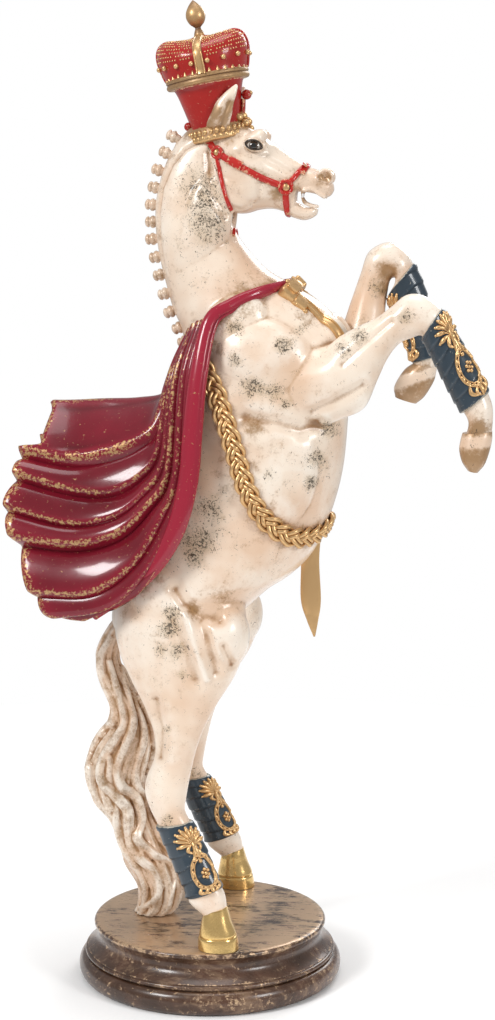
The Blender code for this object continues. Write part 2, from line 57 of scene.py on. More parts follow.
# Section rows: rear point x, z, front point x, z, sideways centre y, half width.
TRUNK = (
    (-84, 300, 12, 322, 0, 46),
    (-106, 334, 40, 350, 0, 76),
    (-100, 370, 68, 376, 0, 84),
    (-86, 402, 92, 392, 0, 83),
    (-70, 440, 116, 418, 0, 78),
    (-58, 490, 134, 460, 0, 77),
    (-48, 540, 146, 506, 0, 80),
    (-38, 590, 151, 560, 0, 82),
    (-26, 632, 153, 612, 0, 76),
    (-28, 656, 149, 650, 0, 66),
    (-37, 676, 126, 681, 0, 54),
    (-44, 700, 92, 703, 0, 45),
    (-51, 728, 62, 721, 0, 39),
    (-56, 760, 38, 747, 0, 35),
    (-56, 790, 26, 768, 0, 32),
    (-50, 818, 25, 780, 0, 30),
    (-40, 842, 30, 794, 0, 28),
    (-24, 864, 44, 812, 0, 25),
    (-6, 878, 52, 832, 0, 18),
)
SKULL = (
    (-4, 876, 6, 812, 0, 13),
    (10, 884, 14, 794, 0, 25),
    (28, 879, 26, 781, 0, 30),
    (46, 869, 41, 779, 0, 31.5),
    (62, 859, 56, 783, 0, 28.5),
    (76, 849, 70, 784, 0, 23),
    (90, 838, 82, 781, 0, 18.5),
    (99, 832, 93, 777, 0, 16),
)
UPPER_JAW = (
    (88, 838, 82, 800, 0, 16),
    (100, 831, 97, 802, 0, 15.5),
    (111, 827, 108, 801, 0, 14.5),
    (121, 824, 117, 799, 0, 15.5),
    (129, 819, 124, 796, 0, 15),
    (134, 810, 130, 797, 0, 11),
    (135, 804, 133, 800, 0, 5),
)
LOWER_JAW = (
    (88, 796, 84, 778, 0, 13),
    (97, 791, 94, 774, 0, 13),
    (105, 786, 103, 772, 0, 11.5),
    (113, 786, 111, 774, 0, 10.5),
    (118, 785, 117, 778, 0, 6.5),
)
HIND_LEG = (
    (-86, 396, 38, 402, -40, 34),
    (-96, 350, 47, 354, -50, 42),
    (-90, 312, 48, 325, -57, 38),
    (-76, 282, 38, 292, -63, 31),
    (-61, 255, 20, 262, -69, 25),
    (-50, 228, 6, 236, -75, 20.5),
    (-48, 204, -3, 211, -80, 18),
    (-56, 182, -9, 184, -84, 17),
    (-58, 166, -13, 160, -87, 16),
    (-52, 147, -14, 146, -89, 14.5),
    (-42, 128, -8, 134, -91, 13),
    (-27, 96, 5, 110, -95, 12.5),
    (-11, 62, 20, 76, -99, 12.5),
    (-8, 48, 30, 60, -101, 13.5),
    (8, 34, 33, 42, -103, 11),
    (10, 24, 33, 28, -103, 11),
)
HIND_HOOF = ((10, 40, 33, 46, -103, 11.5), (7, 35, 35, 39, -103, 13.5), (5, 26, 38, 29, -104, 15.6),
             (3, 15, 43, 17, -104, 18), (4, 13, 42, 14.5, -104, 17.2), (2, 11, 44, 12, -104, 18.6),
             (2, 0, 46, 0, -105, 19.5))
LEFT_FOOT_BACK = 8
NEAR_FORELEG = (
    (58, 566, 96, 650, -38, 34),
    (117, 556, 128, 642, -49, 31),
    (150, 567, 147, 654, -54, 26),
    (173, 579, 167, 665, -57, 22.5),
    (186, 608, 184, 673, -58, 18.5),
    (196, 630, 200, 685, -58, 16.5),
    (208, 646, 215, 697, -58, 16),
    (221, 652, 232, 697, -58, 16.5),
    (231, 655, 249, 685, -58, 15.5),
    (237, 646, 257, 673, -58, 13.5),
    (250, 622, 271, 648, -58, 12.5),
    (262, 599, 285, 624, -58, 12.5),
    (273, 580, 298, 602, -58, 13),
    (281, 566, 306, 582, -58, 14),
    (279, 553, 306, 558, -58, 12.5),
    (277, 542, 304, 544, -58, 12),
)
NEAR_FORE_HOOF = ((275, 554, 306, 556, -58, 13), (273, 546, 306, 548, -58, 15), (272, 536, 304, 537, -58, 16.5),
                  (275, 524, 299, 522, -58, 15.5), (281, 515, 292, 513, -58, 11))
FAR_FORELEG = (
    (70, 604, 128, 612, 34, 32),
    (116, 622, 170, 618, 42, 28),
    (138, 652, 185, 654, 47, 23),
    (150, 685, 188, 684, 50, 19),
    (160, 714, 192, 706, 50, 16.5),
    (169, 738, 197, 710, 50, 16.5),
    (191, 748, 199, 707, 50, 16.5),
    (210, 736, 196, 700, 50, 15.5),
    (219, 719, 192, 690, 50, 13.5),
    (229, 694, 201, 668, 50, 12.5),
    (236, 664, 209, 645, 50, 12.5),
    (242, 636, 217, 628, 50, 13),
    (245, 618, 218, 612, 50, 13.5),
    (242, 602, 213, 608, 50, 13),
)
FAR_FORE_HOOF = ((244, 612, 218, 617, 50, 13.5), (241, 598, 208, 609, 50, 15.5), (231, 581, 198, 592, 50, 15.5),
                 (222, 573, 199, 580, 50, 11))
TAIL = (
    (-96, 350, -74, 346, 0, 13),
    (-116, 324, -94, 316, 0, 17),
    (-128, 298, -99, 292, 0, 19),
    (-123, 270, -89, 264, 0, 22),
    (-110, 244, -75, 240, 0, 25),
    (-112, 217, -62, 214, 0, 29),
    (-130, 192, -58, 190, 0, 32),
    (-140, 163, -65, 162, 0, 33),
    (-135, 130, -70, 136, 0, 31),
    (-116, 108, -64, 112, 0, 29),
    (-105, 82, -50, 84, 0, 29),
    (-98, 56, -35, 58, 0, 30),
    (-84, 32, -29, 32, 0, 29),
    (-84, 10, -33, 10, 0, 26),
    (-88, 0, -40, 0, 0, 20),
)
# Locks raised on each side of the tail: x, z along the run, and half width.
TAIL_LOCKS = (
    (((-106, 318), (-118, 296), (-115, 269), (-102, 241), (-106, 219), (-121, 201), (-131, 178), (-131, 155),
      (-122, 135), (-104, 114)), 7.5),
    (((-109, 292), (-96, 247), (-91, 222), (-105, 199), (-116, 178), (-116, 158), (-102, 142), (-88, 125), (-87, 99),
      (-82, 77), (-63, 60), (-54, 40), (-58, 23), (-80, 5)), 7),
    (((-99, 282), (-86, 244), (-81, 222), (-91, 193), (-99, 173), (-94, 153), (-80, 137), (-74, 114), (-78, 94),
      (-64, 77), (-44, 61), (-39, 41), (-43, 14)), 6.5),
    (((-86, 254), (-72, 222), (-71, 200), (-80, 177), (-80, 154), (-72, 131), (-66, 109), (-55, 86), (-38, 70),
      (-29, 47), (-37, 8)), 6),
    (((-80, 250), (-64, 222), (-60, 194), (-66, 172), (-68, 154)), 5.5),
    (((-67, 146), (-58, 115), (-44, 87), (-33, 68)), 5),
    (((-100, 132), (-101, 108), (-95, 84), (-80, 62), (-70, 40), (-72, 14)), 6),
    (((-112, 196), (-106, 178), (-107, 160), (-94, 140)), 4.5),
)
# Muscle masses: centre x, y, z, radii along x, y, z, and tilt about y in degrees. Each is on both sides.
MUSCLES = (
    (66, -50, 622, 62, 32, 50, 20),
    (34, -48, 655, 34, 22, 46, 35),
    (128, -20, 636, 28, 24, 38, 0),
    (-34, -48, 366, 54, 42, 52, -20),
    (18, -60, 330, 34, 32, 40, 15),
    (60, -54, 520, 66, 27, 84, 0),
    (33, -19, 805, 25, 12, 24, 20),
    (54, -18, 857, 13, 12, 9, -35),
    (125, -8, 816, 10, 9, 8, -30),
    (-4, -20, 760, 30, 20, 70, 14),
)
EAR = ((3, 862, 27, 862, -19, 7), (2, 872, 27, 872, -27, 7.5), (8, 884, 30, 882, -32, 7),
       (14, 896, 32, 893, -33, 5.5), (24, 906, 35, 903, -33, 4), (34, 914, 37, 912, -32, 1.2))
# Modelled lines on the flesh: points x, z, width, depth (a ridge if negative), and side: -1 right, 1 left, 0 both.
GROOVES = (
    (((50, 568), (85, 563), (108, 556), (124, 560)), 9, 6, -1),
    (((118, 574), (142, 586), (172, 603)), 6.5, 4.5, -1),
    (((150, 626), (170, 644), (186, 658), (200, 670)), 4, 2, -1),
    (((62, 600), (96, 622), (128, 634)), 12, 1.2, -1),
    (((30, 600), (44, 574), (64, 560)), 12, 3, -1),
    (((76, 590), (110, 606), (140, 610)), 7, 4.5, 1),
    (((4, 842), (6, 814), (14, 794), (25, 778)), 5, 4, 0),
    (((-2, 800), (20, 778), (32, 752)), 3, 1.8, 0),
    (((-1, 856), (-22, 846), (-36, 830), (-47, 806), (-51, 779), (-50, 750), (-45, 712), (-34, 676)), 2.2, 2.6, 0),
    (((-24, 386), (-14, 371), (1, 361), (22, 355)), 7, 6, 0),
    (((-26, 352), (-14, 325), (-4, 292)), 8, 3.6, 0),
    (((-13, 362), (-3, 328), (9, 291)), 4.5, -3.4, 0),
    (((4, 352), (14, 326), (20, 298)), 6, 3.6, 0),
    (((28, 326), (36, 304)), 4.5, 3.4, 0),
    (((-46, 266), (-40, 236), (-42, 206)), 6, 3.4, 0),
    (((-30, 262), (-24, 236), (-26, 204)), 7, -1.6, 0),
    (((17, 869), (23, 882), (29, 895)), 3.6, 3.4, 0),
    (((17, 826), (14, 806), (22, 788), (40, 782), (57, 794), (60, 812)), 3, 1.4, 0),
    (((66, 836), (84, 826), (98, 818)), 4, 1.6, 0),
    (((36, 846), (46, 858), (57, 860), (66, 850)), 3, -1.5, 0),
    (((38, 842), (52, 836), (65, 840)), 3, 1.6, 0),
    (((120, 812), (128, 810), (132, 814)), 2.5, 1.2, 0),
    (((60, 640), (84, 662), (120, 668)), 12, 1.2, 0),
    (((4, 560), (20, 500), (60, 440)), 13, 2, 0),
    (((100, 500), (112, 470), (116, 440)), 10, 2, 0),
    (((74, 846), (92, 834), (108, 826)), 5, 1.2, 0),
    (((30, 800), (50, 790), (72, 790)), 4, 1.2, 0),
)
# Dents: centre x, y, z, radius and depth, on both sides.
DENTS = ((126.5, -18, 817.5, 3.6, 6), (52, -31, 849, 8, 3), (101, -14, 797, 5, 2.5), (112, -9, 797, 6, 1.5))
# Lips and the nostril's wing, raised on the head: x, z along the run, distance from the middle plane, and radius.
LIPS = (
    (((101, 798), (103, 803), (111, 805), (118, 801), (127, 796)), 12.5, 2.4),
    (((101, 797), (104, 791), (110, 788), (118, 786)), 10, 2.2),
    (((120, 815), (120.5, 821), (126, 824.5), (132, 821), (132.5, 815), (129, 811)), 14.5, 2.5),
)
# Skins of the flesh: voxel, rounds of smoothing, and the most triangles.
BODY_SKIN = (1.55, 8, 160000)
HEAD_SKIN = (0.95, 14, 100000)
TAIL_SKIN = (1.1, 2, 130000)
# Where the head's skin meets the body's: x, z of two places on the plane, and how far it runs on below the second.
HEAD_CUT = ((-4, 868), (28, 780))
HEAD_DROP = 16

# The crown's place x, z, its tilt, and its profiles, of radius and height above its band.
CROWN_BAND = (0, 920)
CROWN_TILT = math.radians(11)
CROWN_LOBE = ((43, 3), (45, 8), (47.5, 18), (48.8, 27), (47.6, 35.5), (43, 42), (35, 45), (24, 43.5), (12, 42.5),
              (4, 44), (3, 45))
CROWN_SIDE = ((43, 3), (42, 8), (43, 17), (42.5, 25), (38, 32), (30, 37), (20, 40.5), (10, 42.5), (4, 44), (3, 45))
CROWN_CONE = ((26.5, -52), (27.2, -46), (29, -38), (31.6, -26), (35, -12), (38.5, -4))
CROWN_RIM = ((40, -6), (43.4, -5.4), (44.6, -3), (44, -0.8), (43.2, 0), (44.4, 1.2), (44.2, 3.2), (42.6, 4.6),
             (39, 4.6))
CROWN_FOOT = ((22, -50), (27.5, -50), (30, -53), (31.5, -58), (32, -64), (26, -66))
FINIAL = ((3.2, 42), (5.5, 46), (4.5, 50), (3, 53.5), (4.5, 55.5), (8, 59), (10.3, 65), (9.6, 71), (6.5, 76.5),
          (3, 80.5), (0.3, 83))
CROWN_POINT = ((2.1, 0), (1.9, 1.2), (1, 3.4), (0.1, 5))
# Gold drops over the brow, in front of the crown: x, y, z and radius.
BROW_DROPS = ((30, 0, 884, 6), (37, 0, 882, 6), (43, 0, 876, 5), (34, -9, 880, 5), (41, -8, 874, 4.6),
              (27, -12, 880, 5), (34, 9, 880, 5), (41, 8, 874, 4.6), (27, 12, 880, 5), (46, 0, 869, 4))
MANE_KNOBS = ((-39, 859), (-47, 842), (-55, 824), (-59, 806), (-62, 788), (-62, 770), (-62, 752), (-58, 733),
              (-54, 714), (-49, 694), (-43, 675), (-34, 658), (-28, 643))
KNOB = ((2, -9), (4.2, -6), (5, -2), (6.6, 0.5), (6.4, 3), (5, 4.6), (5.9, 6.4), (5, 8.6), (2.2, 10), (0.2, 10.4))

# The cape's ridges from the middle of the back to its right edge: x, y, z along each.
CAPE_STRANDS = (
    ((-18, 0, 648), (-33, 0, 602), (-46, 0, 580), (-75, 0, 574), (-105, 0, 571), (-136, 0, 570), (-172, 0, 571)),
    ((-12, -24, 654), (-32, -38, 606), (-46, -50, 560), (-66, -53, 541), (-100, -54, 528), (-142, -54, 522),
     (-196, -50, 530)),
    ((-10, -35, 656), (-30, -54, 606), (-42, -66, 534), (-62, -68, 506), (-94, -69, 490), (-138, -68, 491),
     (-200, -64, 506)),
    ((-6, -42, 659), (-26, -62, 606), (-35, -76, 521), (-60, -78, 484), (-94, -79, 462), (-142, -78, 456),
     (-208, -74, 472)),
    ((-4, -48, 662), (-22, -68, 606), (-29, -84, 510), (-54, -86, 473), (-88, -87, 446), (-136, -86, 435),
     (-202, -82, 442)),
    ((3, -58, 666), (-12, -78, 608), (-19, -92, 508), (-38, -95, 462), (-70, -96, 414), (-116, -94, 386),
     (-180, -89, 384)),
    ((8, -62, 668), (-6, -81, 610), (-12, -94, 514), (-29, -97, 456), (-56, -97, 408), (-98, -92, 370),
     (-160, -86, 356)),
    ((12, -66, 670), (0, -84, 612), (-6, -96, 520), (-22, -98, 450), (-46, -95, 408), (-80, -88, 376),
     (-122, -82, 352)),
)
# How deep the cape folds in below each ridge, how far its ridges stand out, and how its hem is scalloped and stepped.
CAPE_FOLDS = (3, 13, 12, 9, 17, 9, 5)
CAPE_LIFT = 5
CAPE_SCALLOP = 8
CAPE_STEP = 24
CAPE_THICKNESS = 6
CAPE_LENGTH = 190
# The rolled edge: x, y, z along it, radii, and how many of its points lie on the flesh.
CAPE_EDGE = ((84, -12, 705), (58, -40, 698), (32, -60, 685), (12, -74, 667), (2, -90, 612), (-3, -98, 556),
             (-8, -101, 500), (-24, -101, 446), (-56, -95, 400), (-112, -82, 354))
CAPE_EDGE_RADII = (5.5, 6.5, 7.5, 8.5, 9.5, 10.5, 10.5, 10, 8.5, 4)
CAPE_EDGE_POINTS = 130
CAPE_EDGE_LYING = 52

GIRTH = ((8, -60, 618), (17, -80, 592), (29, -86, 560), (40, -86, 526), (51, -84, 494), (68, -76, 464),
         (90, -58, 444), (112, -34, 440), (128, 0, 450))
# The plait's strands, their swing sideways and outwards, the wires of each, and the length of one turn.
GIRTH_STRANDS = 3
GIRTH_WEAVE = (6.8, 2.4)
GIRTH_WIRES = (-2.5, 2.5)
GIRTH_WIRE_RADIUS = 2.5
GIRTH_PITCH = 46
BUCKLE_SEAT = (93, -29, 688)
# The strap end below the belly: rear x, front x and z.
LAPPET = ((99, 123, 436), (101, 121, 405), (101, 123, 362), (108, 120, 338), (115, 117, 321))

# The bridle's straps: x, z along each.
CHEEK_STRAP = ((-4, 866), (4, 854), (14, 843), (30, 833), (48, 823), (66, 814), (85, 807))
NOSEBAND = ((85, 807), (92, 815), (99, 823), (106, 831))
CHIN_STRAP = ((85, 807), (85, 796), (86, 780))
THROAT_STRAP = ((13, 840), (17, 820), (22, 800), (28, 783))

EYE = (52.5, -24, 850)

# Where dark speckle gathers on the flesh: x, z and radius, on the right side and, fainter, on the left.
SPECKLES = ((-4, 800, 26), (4, 765, 22), (12, 470, 18), (2, 440, 20), (-6, 420, 14), (-28, 362, 10), (-30, 345, 12),
            (-22, 322, 12), (-16, 296, 7), (-38, 322, 9), (39, 629, 9), (56, 602, 13), (80, 597, 10), (92, 584, 7),
            (88, 645, 11), (74, 509, 8), (125, 525, 11), (134, 557, 9), (150, 640, 9), (168, 655, 8), (214, 676, 9),
            (-32, 236, 6), (-30, 140, 9), (178, 700, 10), (104, 660, 8), (40, 662, 10), (118, 500, 8))
# Where brown and gold paint is rubbed on: x, z, radius and strength.
GILDING = ((2, 868, 14, 1), (-14, 866, 10, 1), (14, 884, 10, 0.9), (26, 856, 8, 0.5), (76, 800, 9, 0.8),
           (94, 806, 6, 0.7), (122, 812, 8, 0.5), (-4, 366, 8, 0.9), (190, 716, 12, 1), (186, 700, 9, 0.9),
           (58, 560, 14, 0.5), (10, 600, 14, 0.6), (24, 380, 10, 0.5), (292, 560, 12, 1), (232, 606, 12, 1),
           (0, 655, 14, 0.5), (114, 676, 14, 0.5))
# The same along runs of x, y, z beside the cape's roll, the girth, the crest and the bridle: radius and strength.
GILT_RUNS = (
    (CAPE_EDGE, 17, 0.62), (GIRTH, 15, 0.6), (tuple((x + 12, 0, z) for x, z in MANE_KNOBS), 16, 0.42),
    (tuple((x, -27, z) for x, z in CHEEK_STRAP), 8, 0.5), (tuple((x, -15, z) for x, z in NOSEBAND), 7, 0.5),
    (((-4, -8, 872), (6, -24, 872), (26, -24, 866), (40, -10, 868)), 9, 0.85),
    (((17, -34, 866), (23, -34, 880), (29, -34, 892)), 4.5, 1.3),
    (((100, -14, 799), (103, -13, 795)), 6, 0.9), (((122, -17, 817), (128, -17, 816)), 5, 1),
)

# The wraps: the leg, the section rows each runs between, where its gold work faces in degrees, and if it is mirrored.
WRAPS = {
    "right_hind": (HIND_LEG, 9.9, 12.6, -55, False),
    "left_hind": (HIND_LEG, 9.9, 12.6, 35, True),
    "right_fore": (NEAR_FORELEG, 8.2, 12.3, -50, False),
    "left_fore": (FAR_FORELEG, 7.7, 11.6, -30, False),
}
WRAP_PITCH = 15
WRAP_LENGTH = 84

# The plinth, in metres: how far its top stands in from its foot, its shelf beyond the top, the radii of its bead and
# its foot, and the height where the cove ends.
TOP_INSET = 0.0081
SHELF = 0.0036
BEAD = 0.0013
FOOT = 0.0061
COVE_END = 0.0155

# The stage, in metres, watts and degrees: each lamp's name, place, size and power, and the photograph's camera.
FLOOR_RADIUS = 0.6
SKY_LIGHT = 0.42
LAMPS = (("key", (-0.95, -1.05, 1.25), 0.45, 18), ("fill", (1.25, -0.8, 0.8), 0.4, 9),
         ("top", (0.0, 0.1, 1.8), 0.9, 9), ("back", (0.5, 1.3, 1.0), 0.7, 8))
CAMERA_AZIMUTH, CAMERA_HEADING, CAMERA_PITCH = 8, 6.97, 8.79
CAMERA_DISTANCE, CAMERA_HEIGHT, CAMERA_LENS, CAMERA_SENSOR = 1.1, 0.4159, 76.69, 36


class Value:
    """A socket of a material, on which arithmetic adds Math nodes."""

    def __init__(self, paint, socket):
        self.paint, self.socket = paint, socket

    def math(self, operation, *others):
        return self.paint.node("ShaderNodeMath", {"operation": operation}, dict(enumerate((self, *others))))

    def __add__(self, other):
        return self.math("ADD", other)

    def __mul__(self, other):
        return self.math("MULTIPLY", other)

    def __sub__(self, other):
        return self.math("SUBTRACT", other)

    def __rsub__(self, other):
        return self.paint.node("ShaderNodeMath", {"operation": "SUBTRACT"}, {0: other, 1: self})

    __radd__, __rmul__ = __add__, __mul__

    def most(self, other):
        return self.math("MAXIMUM", other)

    def step(self, low, high):
        """0 below low, 1 above high, smooth between."""
        ends = {"From Min": low, "From Max": high}
        return self.paint.node("ShaderNodeMapRange", {"interpolation_type": "SMOOTHSTEP"}, {"Value": self, **ends})


class Paint:
    """A Principled material, with one method for any node and a few for those used most."""

    def __init__(self, name, **constants):
        self.material = bpy.data.materials.new(name)
        self.material.use_nodes = True
        self.tree = self.material.node_tree
        self.shader = self.tree.nodes["Principled BSDF"]
        self.at = self.node("ShaderNodeTexCoord", {}, {}, "Object")
        for socket, value in constants.items():
            self.set(socket.replace("_", " ").title().replace("Ior", "IOR"), value)

    def node(self, kind, settings, sockets, output=0):
        made = self.tree.nodes.new(kind)
        for name, value in settings.items():
            setattr(made, name, value)
        for name, value in sockets.items():
            self.join(made.inputs[name], value)
        return Value(self, made.outputs[output])

    def join(self, socket, value):
        if isinstance(value, Value):
            self.tree.links.new(value.socket, socket)
        elif isinstance(value, tuple) and len(value) == 3 and socket.type == "RGBA":
            socket.default_value = (*value, 1)
        else:
            socket.default_value = value

    def set(self, socket, value):
        self.join(self.shader.inputs[socket], value)

    def mix(self, share, first, second):
        return self.node("ShaderNodeMix", {"data_type": "RGBA"}, {0: share, 6: first, 7: second}, 2)

    def noise(self, per_metre, detail=3, rough=0.55, at=None, swirl=0):
        sockets = {"Vector": at or self.at, "Scale": per_metre, "Detail": detail, "Roughness": rough,
                   "Distortion": swirl}
        return self.node("ShaderNodeTexNoise", {}, sockets)

    def stretched(self, x, y, z, turn=0.0):
        """Object coordinates scaled by x, y and z and turned about z."""
        sockets = {"Vector": self.at, "Scale": (x, y, z), "Rotation": (0, 0, turn)}
        return self.node("ShaderNodeMapping", {}, sockets)

    def attribute(self, name):
        return self.node("ShaderNodeAttribute", {"attribute_name": name}, {}, "Fac")

    def bump(self, height, strength, distance=0.0003):
        sockets = {"Height": height, "Strength": strength, "Distance": distance}
        self.set("Normal", self.node("ShaderNodeBump", {}, sockets))


def ivory():
    """Cream lacquer: warm in broad clouds, paler on raised places as a painted highlight, tan in broad hollows as a
    brown wash deepened by painted shade, brown in creases, gilt where marked, and dark flecks in ragged patches."""
    p = Paint("ivory_lacquer", coat_weight=0.5, coat_roughness=0.2, specular_ior_level=0.4)
    cloud = p.noise(24, 3)
    fine = p.noise(900, 4, 0.65)
    blotch = p.noise(150, 5, 0.7)
    colour = p.mix(cloud.step(0.35, 0.66), (0.85, 0.72, 0.59), (0.72, 0.51, 0.36))
    hollow = p.attribute("relief") * -1 + (fine - 0.5) * 0.4
    cavity = p.attribute("cavity") * -1 + (blotch - 0.5) * 0.5
    # painted highlight: raised places turn towards a paler, near-white cream
    colour = p.mix(cavity.step(-0.15, -0.7) * 0.6, colour, (0.92, 0.86, 0.77))
    # painted shade over a brown wash: broad hollows turn tan
    colour = p.mix(cavity.step(0, 0.8) * 0.75, colour, (0.52, 0.31, 0.16))
    colour = p.mix(hollow.step(0.05, 0.65) * 0.9, colour, (0.30, 0.145, 0.055))
    gilt = (p.attribute("gilding") + (blotch - 0.5) * 1.7 + (fine - 0.5) * 0.7).step(0.08, 0.75)
    colour = p.mix(gilt * 0.85, colour, (0.33, 0.175, 0.06))
    patch = p.attribute("speckle") + (p.noise(75, 5, 0.7) - 0.5) * 2.1
    colour = p.mix(patch.step(0.2, 1.1) * 0.45, colour, (0.46, 0.33, 0.19))
    flecks = p.noise(560, 6, 0.74, swirl=1.6)
    dark = (flecks + patch.most(0).math("MINIMUM", 1.3) * 0.125).step(0.635, 0.67)
    colour = p.mix(dark * 0.92, colour, (0.045, 0.032, 0.018))
    p.set("Base Color", colour)
    p.set("Roughness", 0.3 + hollow.step(0.1, 0.8) * 0.2 + gilt * 0.12 + dark * 0.2)
    p.set("Metallic", gilt * 0.3)
    p.bump(fine * 0.3 + dark * -0.6, 0.25)
    return p.material


def lacquer(name, deep, bright, rubbed, roughness, worn=(0.55, 0.35, 0.15)):
    """Coloured lacquer: painted shade in hollows and a painted highlight on raised places, with paint rubbed through
    in flecks along the raised edges.
    """
    p = Paint(name, coat_weight=0.5, coat_roughness=0.09, specular_ior_level=0.2)
    relief = p.attribute("relief")
    # painted shade and highlight: hollows lean to the deep colour and raised places to the bright one; the tint and
    # the noise vary the tone as well
    share = relief.step(-0.7, 0.5) * 0.55 + p.attribute("tint") * 0.6 + (p.noise(40, 3) - 0.5) * 0.5
    colour = p.mix(share, deep, bright)
    flecks = p.noise(620, 6, 0.75)
    edge = (relief + (p.noise(110, 4, 0.6) - 0.5) * 1.1).step(0.25, 1.05)
    gold = (flecks + edge * 0.2 * rubbed).step(0.635, 0.68)
    colour = p.mix(gold * 0.85, colour, worn)
    p.set("Base Color", colour)
    p.set("Metallic", gold * 0.5)
    p.set("Roughness", roughness + gold * 0.2 + (p.noise(60, 2) - 0.5) * 0.1)
    p.bump(flecks * 0.25 + gold * 0.5 + p.noise(70, 3) * 1.5, 0.25)
    return p.material


def gilt(name, hollow_colour, colour, shine, roughness):
    """Gold paint: brown in hollows and where tinted, brighter on raised edges."""
    p = Paint(name, coat_weight=0.15, coat_roughness=0.2)
    relief = p.attribute("relief")
    grain = p.noise(600, 5, 0.7)
    blotch = p.noise(90, 4, 0.6)
    share = (relief + (grain - 0.5) * 0.6 + (blotch - 0.5) * 0.5 - p.attribute("tint")).step(-0.6, 0.45)
    p.set("Base Color", p.mix(share, hollow_colour, colour))
    p.set("Metallic", share * shine)
    p.set("Roughness", roughness + (1 - share) * 0.25 + (grain - 0.5) * 0.15)
    p.bump(grain, 0.15)
    return p.material


def plinth_paint():
    """Dark brown lacquer with gold rubbed on: streaked over the top, in flecks along the turned edges."""
    p = Paint("bronzed_brown", coat_weight=0.4, coat_roughness=0.16, specular_ior_level=0.35)
    streak = p.noise(190, 8, 0.8, p.stretched(0.42, 1.4, 1, -0.12), 0.4)
    blotch = p.noise(42, 3, 0.6)
    top = p.attribute("top")
    edge = p.attribute("relief").step(0.05, 0.5)
    flecks = p.noise(300, 8, 0.82)
    worn = (streak + (blotch - 0.5) * 0.5 + top * 0.14).step(0.52, 0.66) * (0.25 + top * 0.7)
    chipped = (flecks + edge * 0.08 + (blotch - 0.5) * 0.18).step(0.59, 0.625)
    gold = worn.most(chipped)
    brown = p.mix(blotch.step(0.35, 0.65), (0.04, 0.018, 0.009), (0.09, 0.042, 0.024))
    brown = p.mix(top * blotch.step(0.4, 0.6) * 0.7, brown, (0.16, 0.075, 0.06))
    p.set("Base Color", p.mix(gold * 0.85, brown, (0.60, 0.41, 0.25)))
    p.set("Metallic", gold * 0.5)
    p.set("Roughness", 0.3 + (streak - 0.5) * 0.4)
    p.bump(flecks * 0.5 + gold * 0.3 + blotch * 0.6, 0.3)
    return p.material


def eye_paint():
    """A dark eye: brown ring round a black pupil, cream at the corners, by distance from the eye's middle."""
    p = Paint("eye_black", roughness=0.06, coat_weight=1.0, coat_roughness=0.02)
    across = p.node("ShaderNodeSeparateXYZ", {}, {0: p.at}, 0) * (1 / UNIT) - EYE[0]
    up = (p.node("ShaderNodeSeparateXYZ", {}, {0: p.at}, 2) - SEAT) * (1 / UNIT) - EYE[2]
    distance = (across * across + up * up).math("SQRT")
    colour = p.mix(distance.step(2.4, 3.2), (0.004, 0.003, 0.003), (0.05, 0.026, 0.014))
    colour = p.mix(distance.step(4.6, 5.2), colour, (0.60, 0.53, 0.46))
    p.set("Base Color", colour)
    return p.material


def smooth_path(rows, count):
    """Rows read at evenly spaced places along a Catmull-Rom curve through them."""
    rows = np.asarray(rows, float)
    ends = np.vstack([2 * rows[0] - rows[1], rows, 2 * rows[-1] - rows[-2]])
    place = np.linspace(0, len(rows) - 1, count)
    start = np.minimum(place.astype(int), len(rows) - 2)
    t = (place - start)[:, None]
    a, b, c, d = (ends[start + k] for k in range(4))
    return 0.5 * (2 * b + (c - a) * t + (2 * a - 5 * b + 4 * c - d) * t**2 + (3 * b - a - 3 * c + d) * t**3)


def unit(vectors):
    return vectors / np.linalg.norm(vectors, axis=-1, keepdims=True)


def around(sides):
    return np.arange(sides) * 2 * math.pi / sides


def sections(rows, count, sides=20, fullness=1.0):
    """Rings lofted between a rear and a front outline: an oval from one to the other, its half width sideways.
    A fullness under 1 squares the oval off."""
    rows = smooth_path(rows, count)
    angle = around(sides)
    along = np.sign(np.cos(angle)) * np.abs(np.cos(angle)) ** fullness
    across = np.sign(np.sin(angle)) * np.abs(np.sin(angle)) ** fullness
    middle, half = (rows[:, 2:4] + rows[:, 0:2]) / 2, (rows[:, 2:4] - rows[:, 0:2]) / 2
    x = middle[:, :1] + half[:, :1] * along
    z = middle[:, 1:] + half[:, 1:] * along
    return np.stack([x, rows[:, 4:5] + rows[:, 5:6] * across, z], -1)


def mirrored(rings):
    return rings * np.array([1, -1, 1])


def ovoid(centre, radii, tilt=0.0, sides=20, rows=14):
    """Rings of an ellipsoid, turned by tilt about the y axis."""
    polar = np.linspace(0.08, math.pi - 0.08, rows)[:, None]
    x = radii[0] * np.sin(polar) * np.cos(around(sides))
    y = radii[1] * np.sin(polar) * np.sin(around(sides))
    z = radii[2] * np.cos(polar) * np.ones(sides)
    c, s = math.cos(tilt), math.sin(tilt)
    return np.stack([centre[0] + c * x + s * z, centre[1] + y, centre[2] - s * x + c * z], -1)


def strip(points, outward, width, thickness, sides=12):
    """Rings of an oval strap along points: width across the run, thickness along the outward direction."""
    points = np.asarray(points, float)
    outward = np.broadcast_to(outward, points.shape)
    side = unit(np.cross(np.gradient(points, axis=0), outward))
    width = np.broadcast_to(width, len(points))[:, None, None]
    thickness = np.broadcast_to(thickness, len(points))[:, None, None]
    turn = around(sides)[None, :, None]
    return points[:, None] + side[:, None] * width * np.cos(turn) + outward[:, None] * thickness * np.sin(turn)


def turned(profile, sides):
    """Rings of a profile of radius and height turned about the z axis."""
    profile = np.asarray(profile, float)
    x, y = profile[:, :1] * np.cos(around(sides)), profile[:, :1] * np.sin(around(sides))
    return np.stack([x, y, profile[:, 1:2] + 0 * x], -1)


def sheet_normals(sheet):
    """Unit normals of a grid of points, from the cross product of its two directions."""
    return unit(np.cross(np.gradient(sheet, axis=1), np.gradient(sheet, axis=0)))


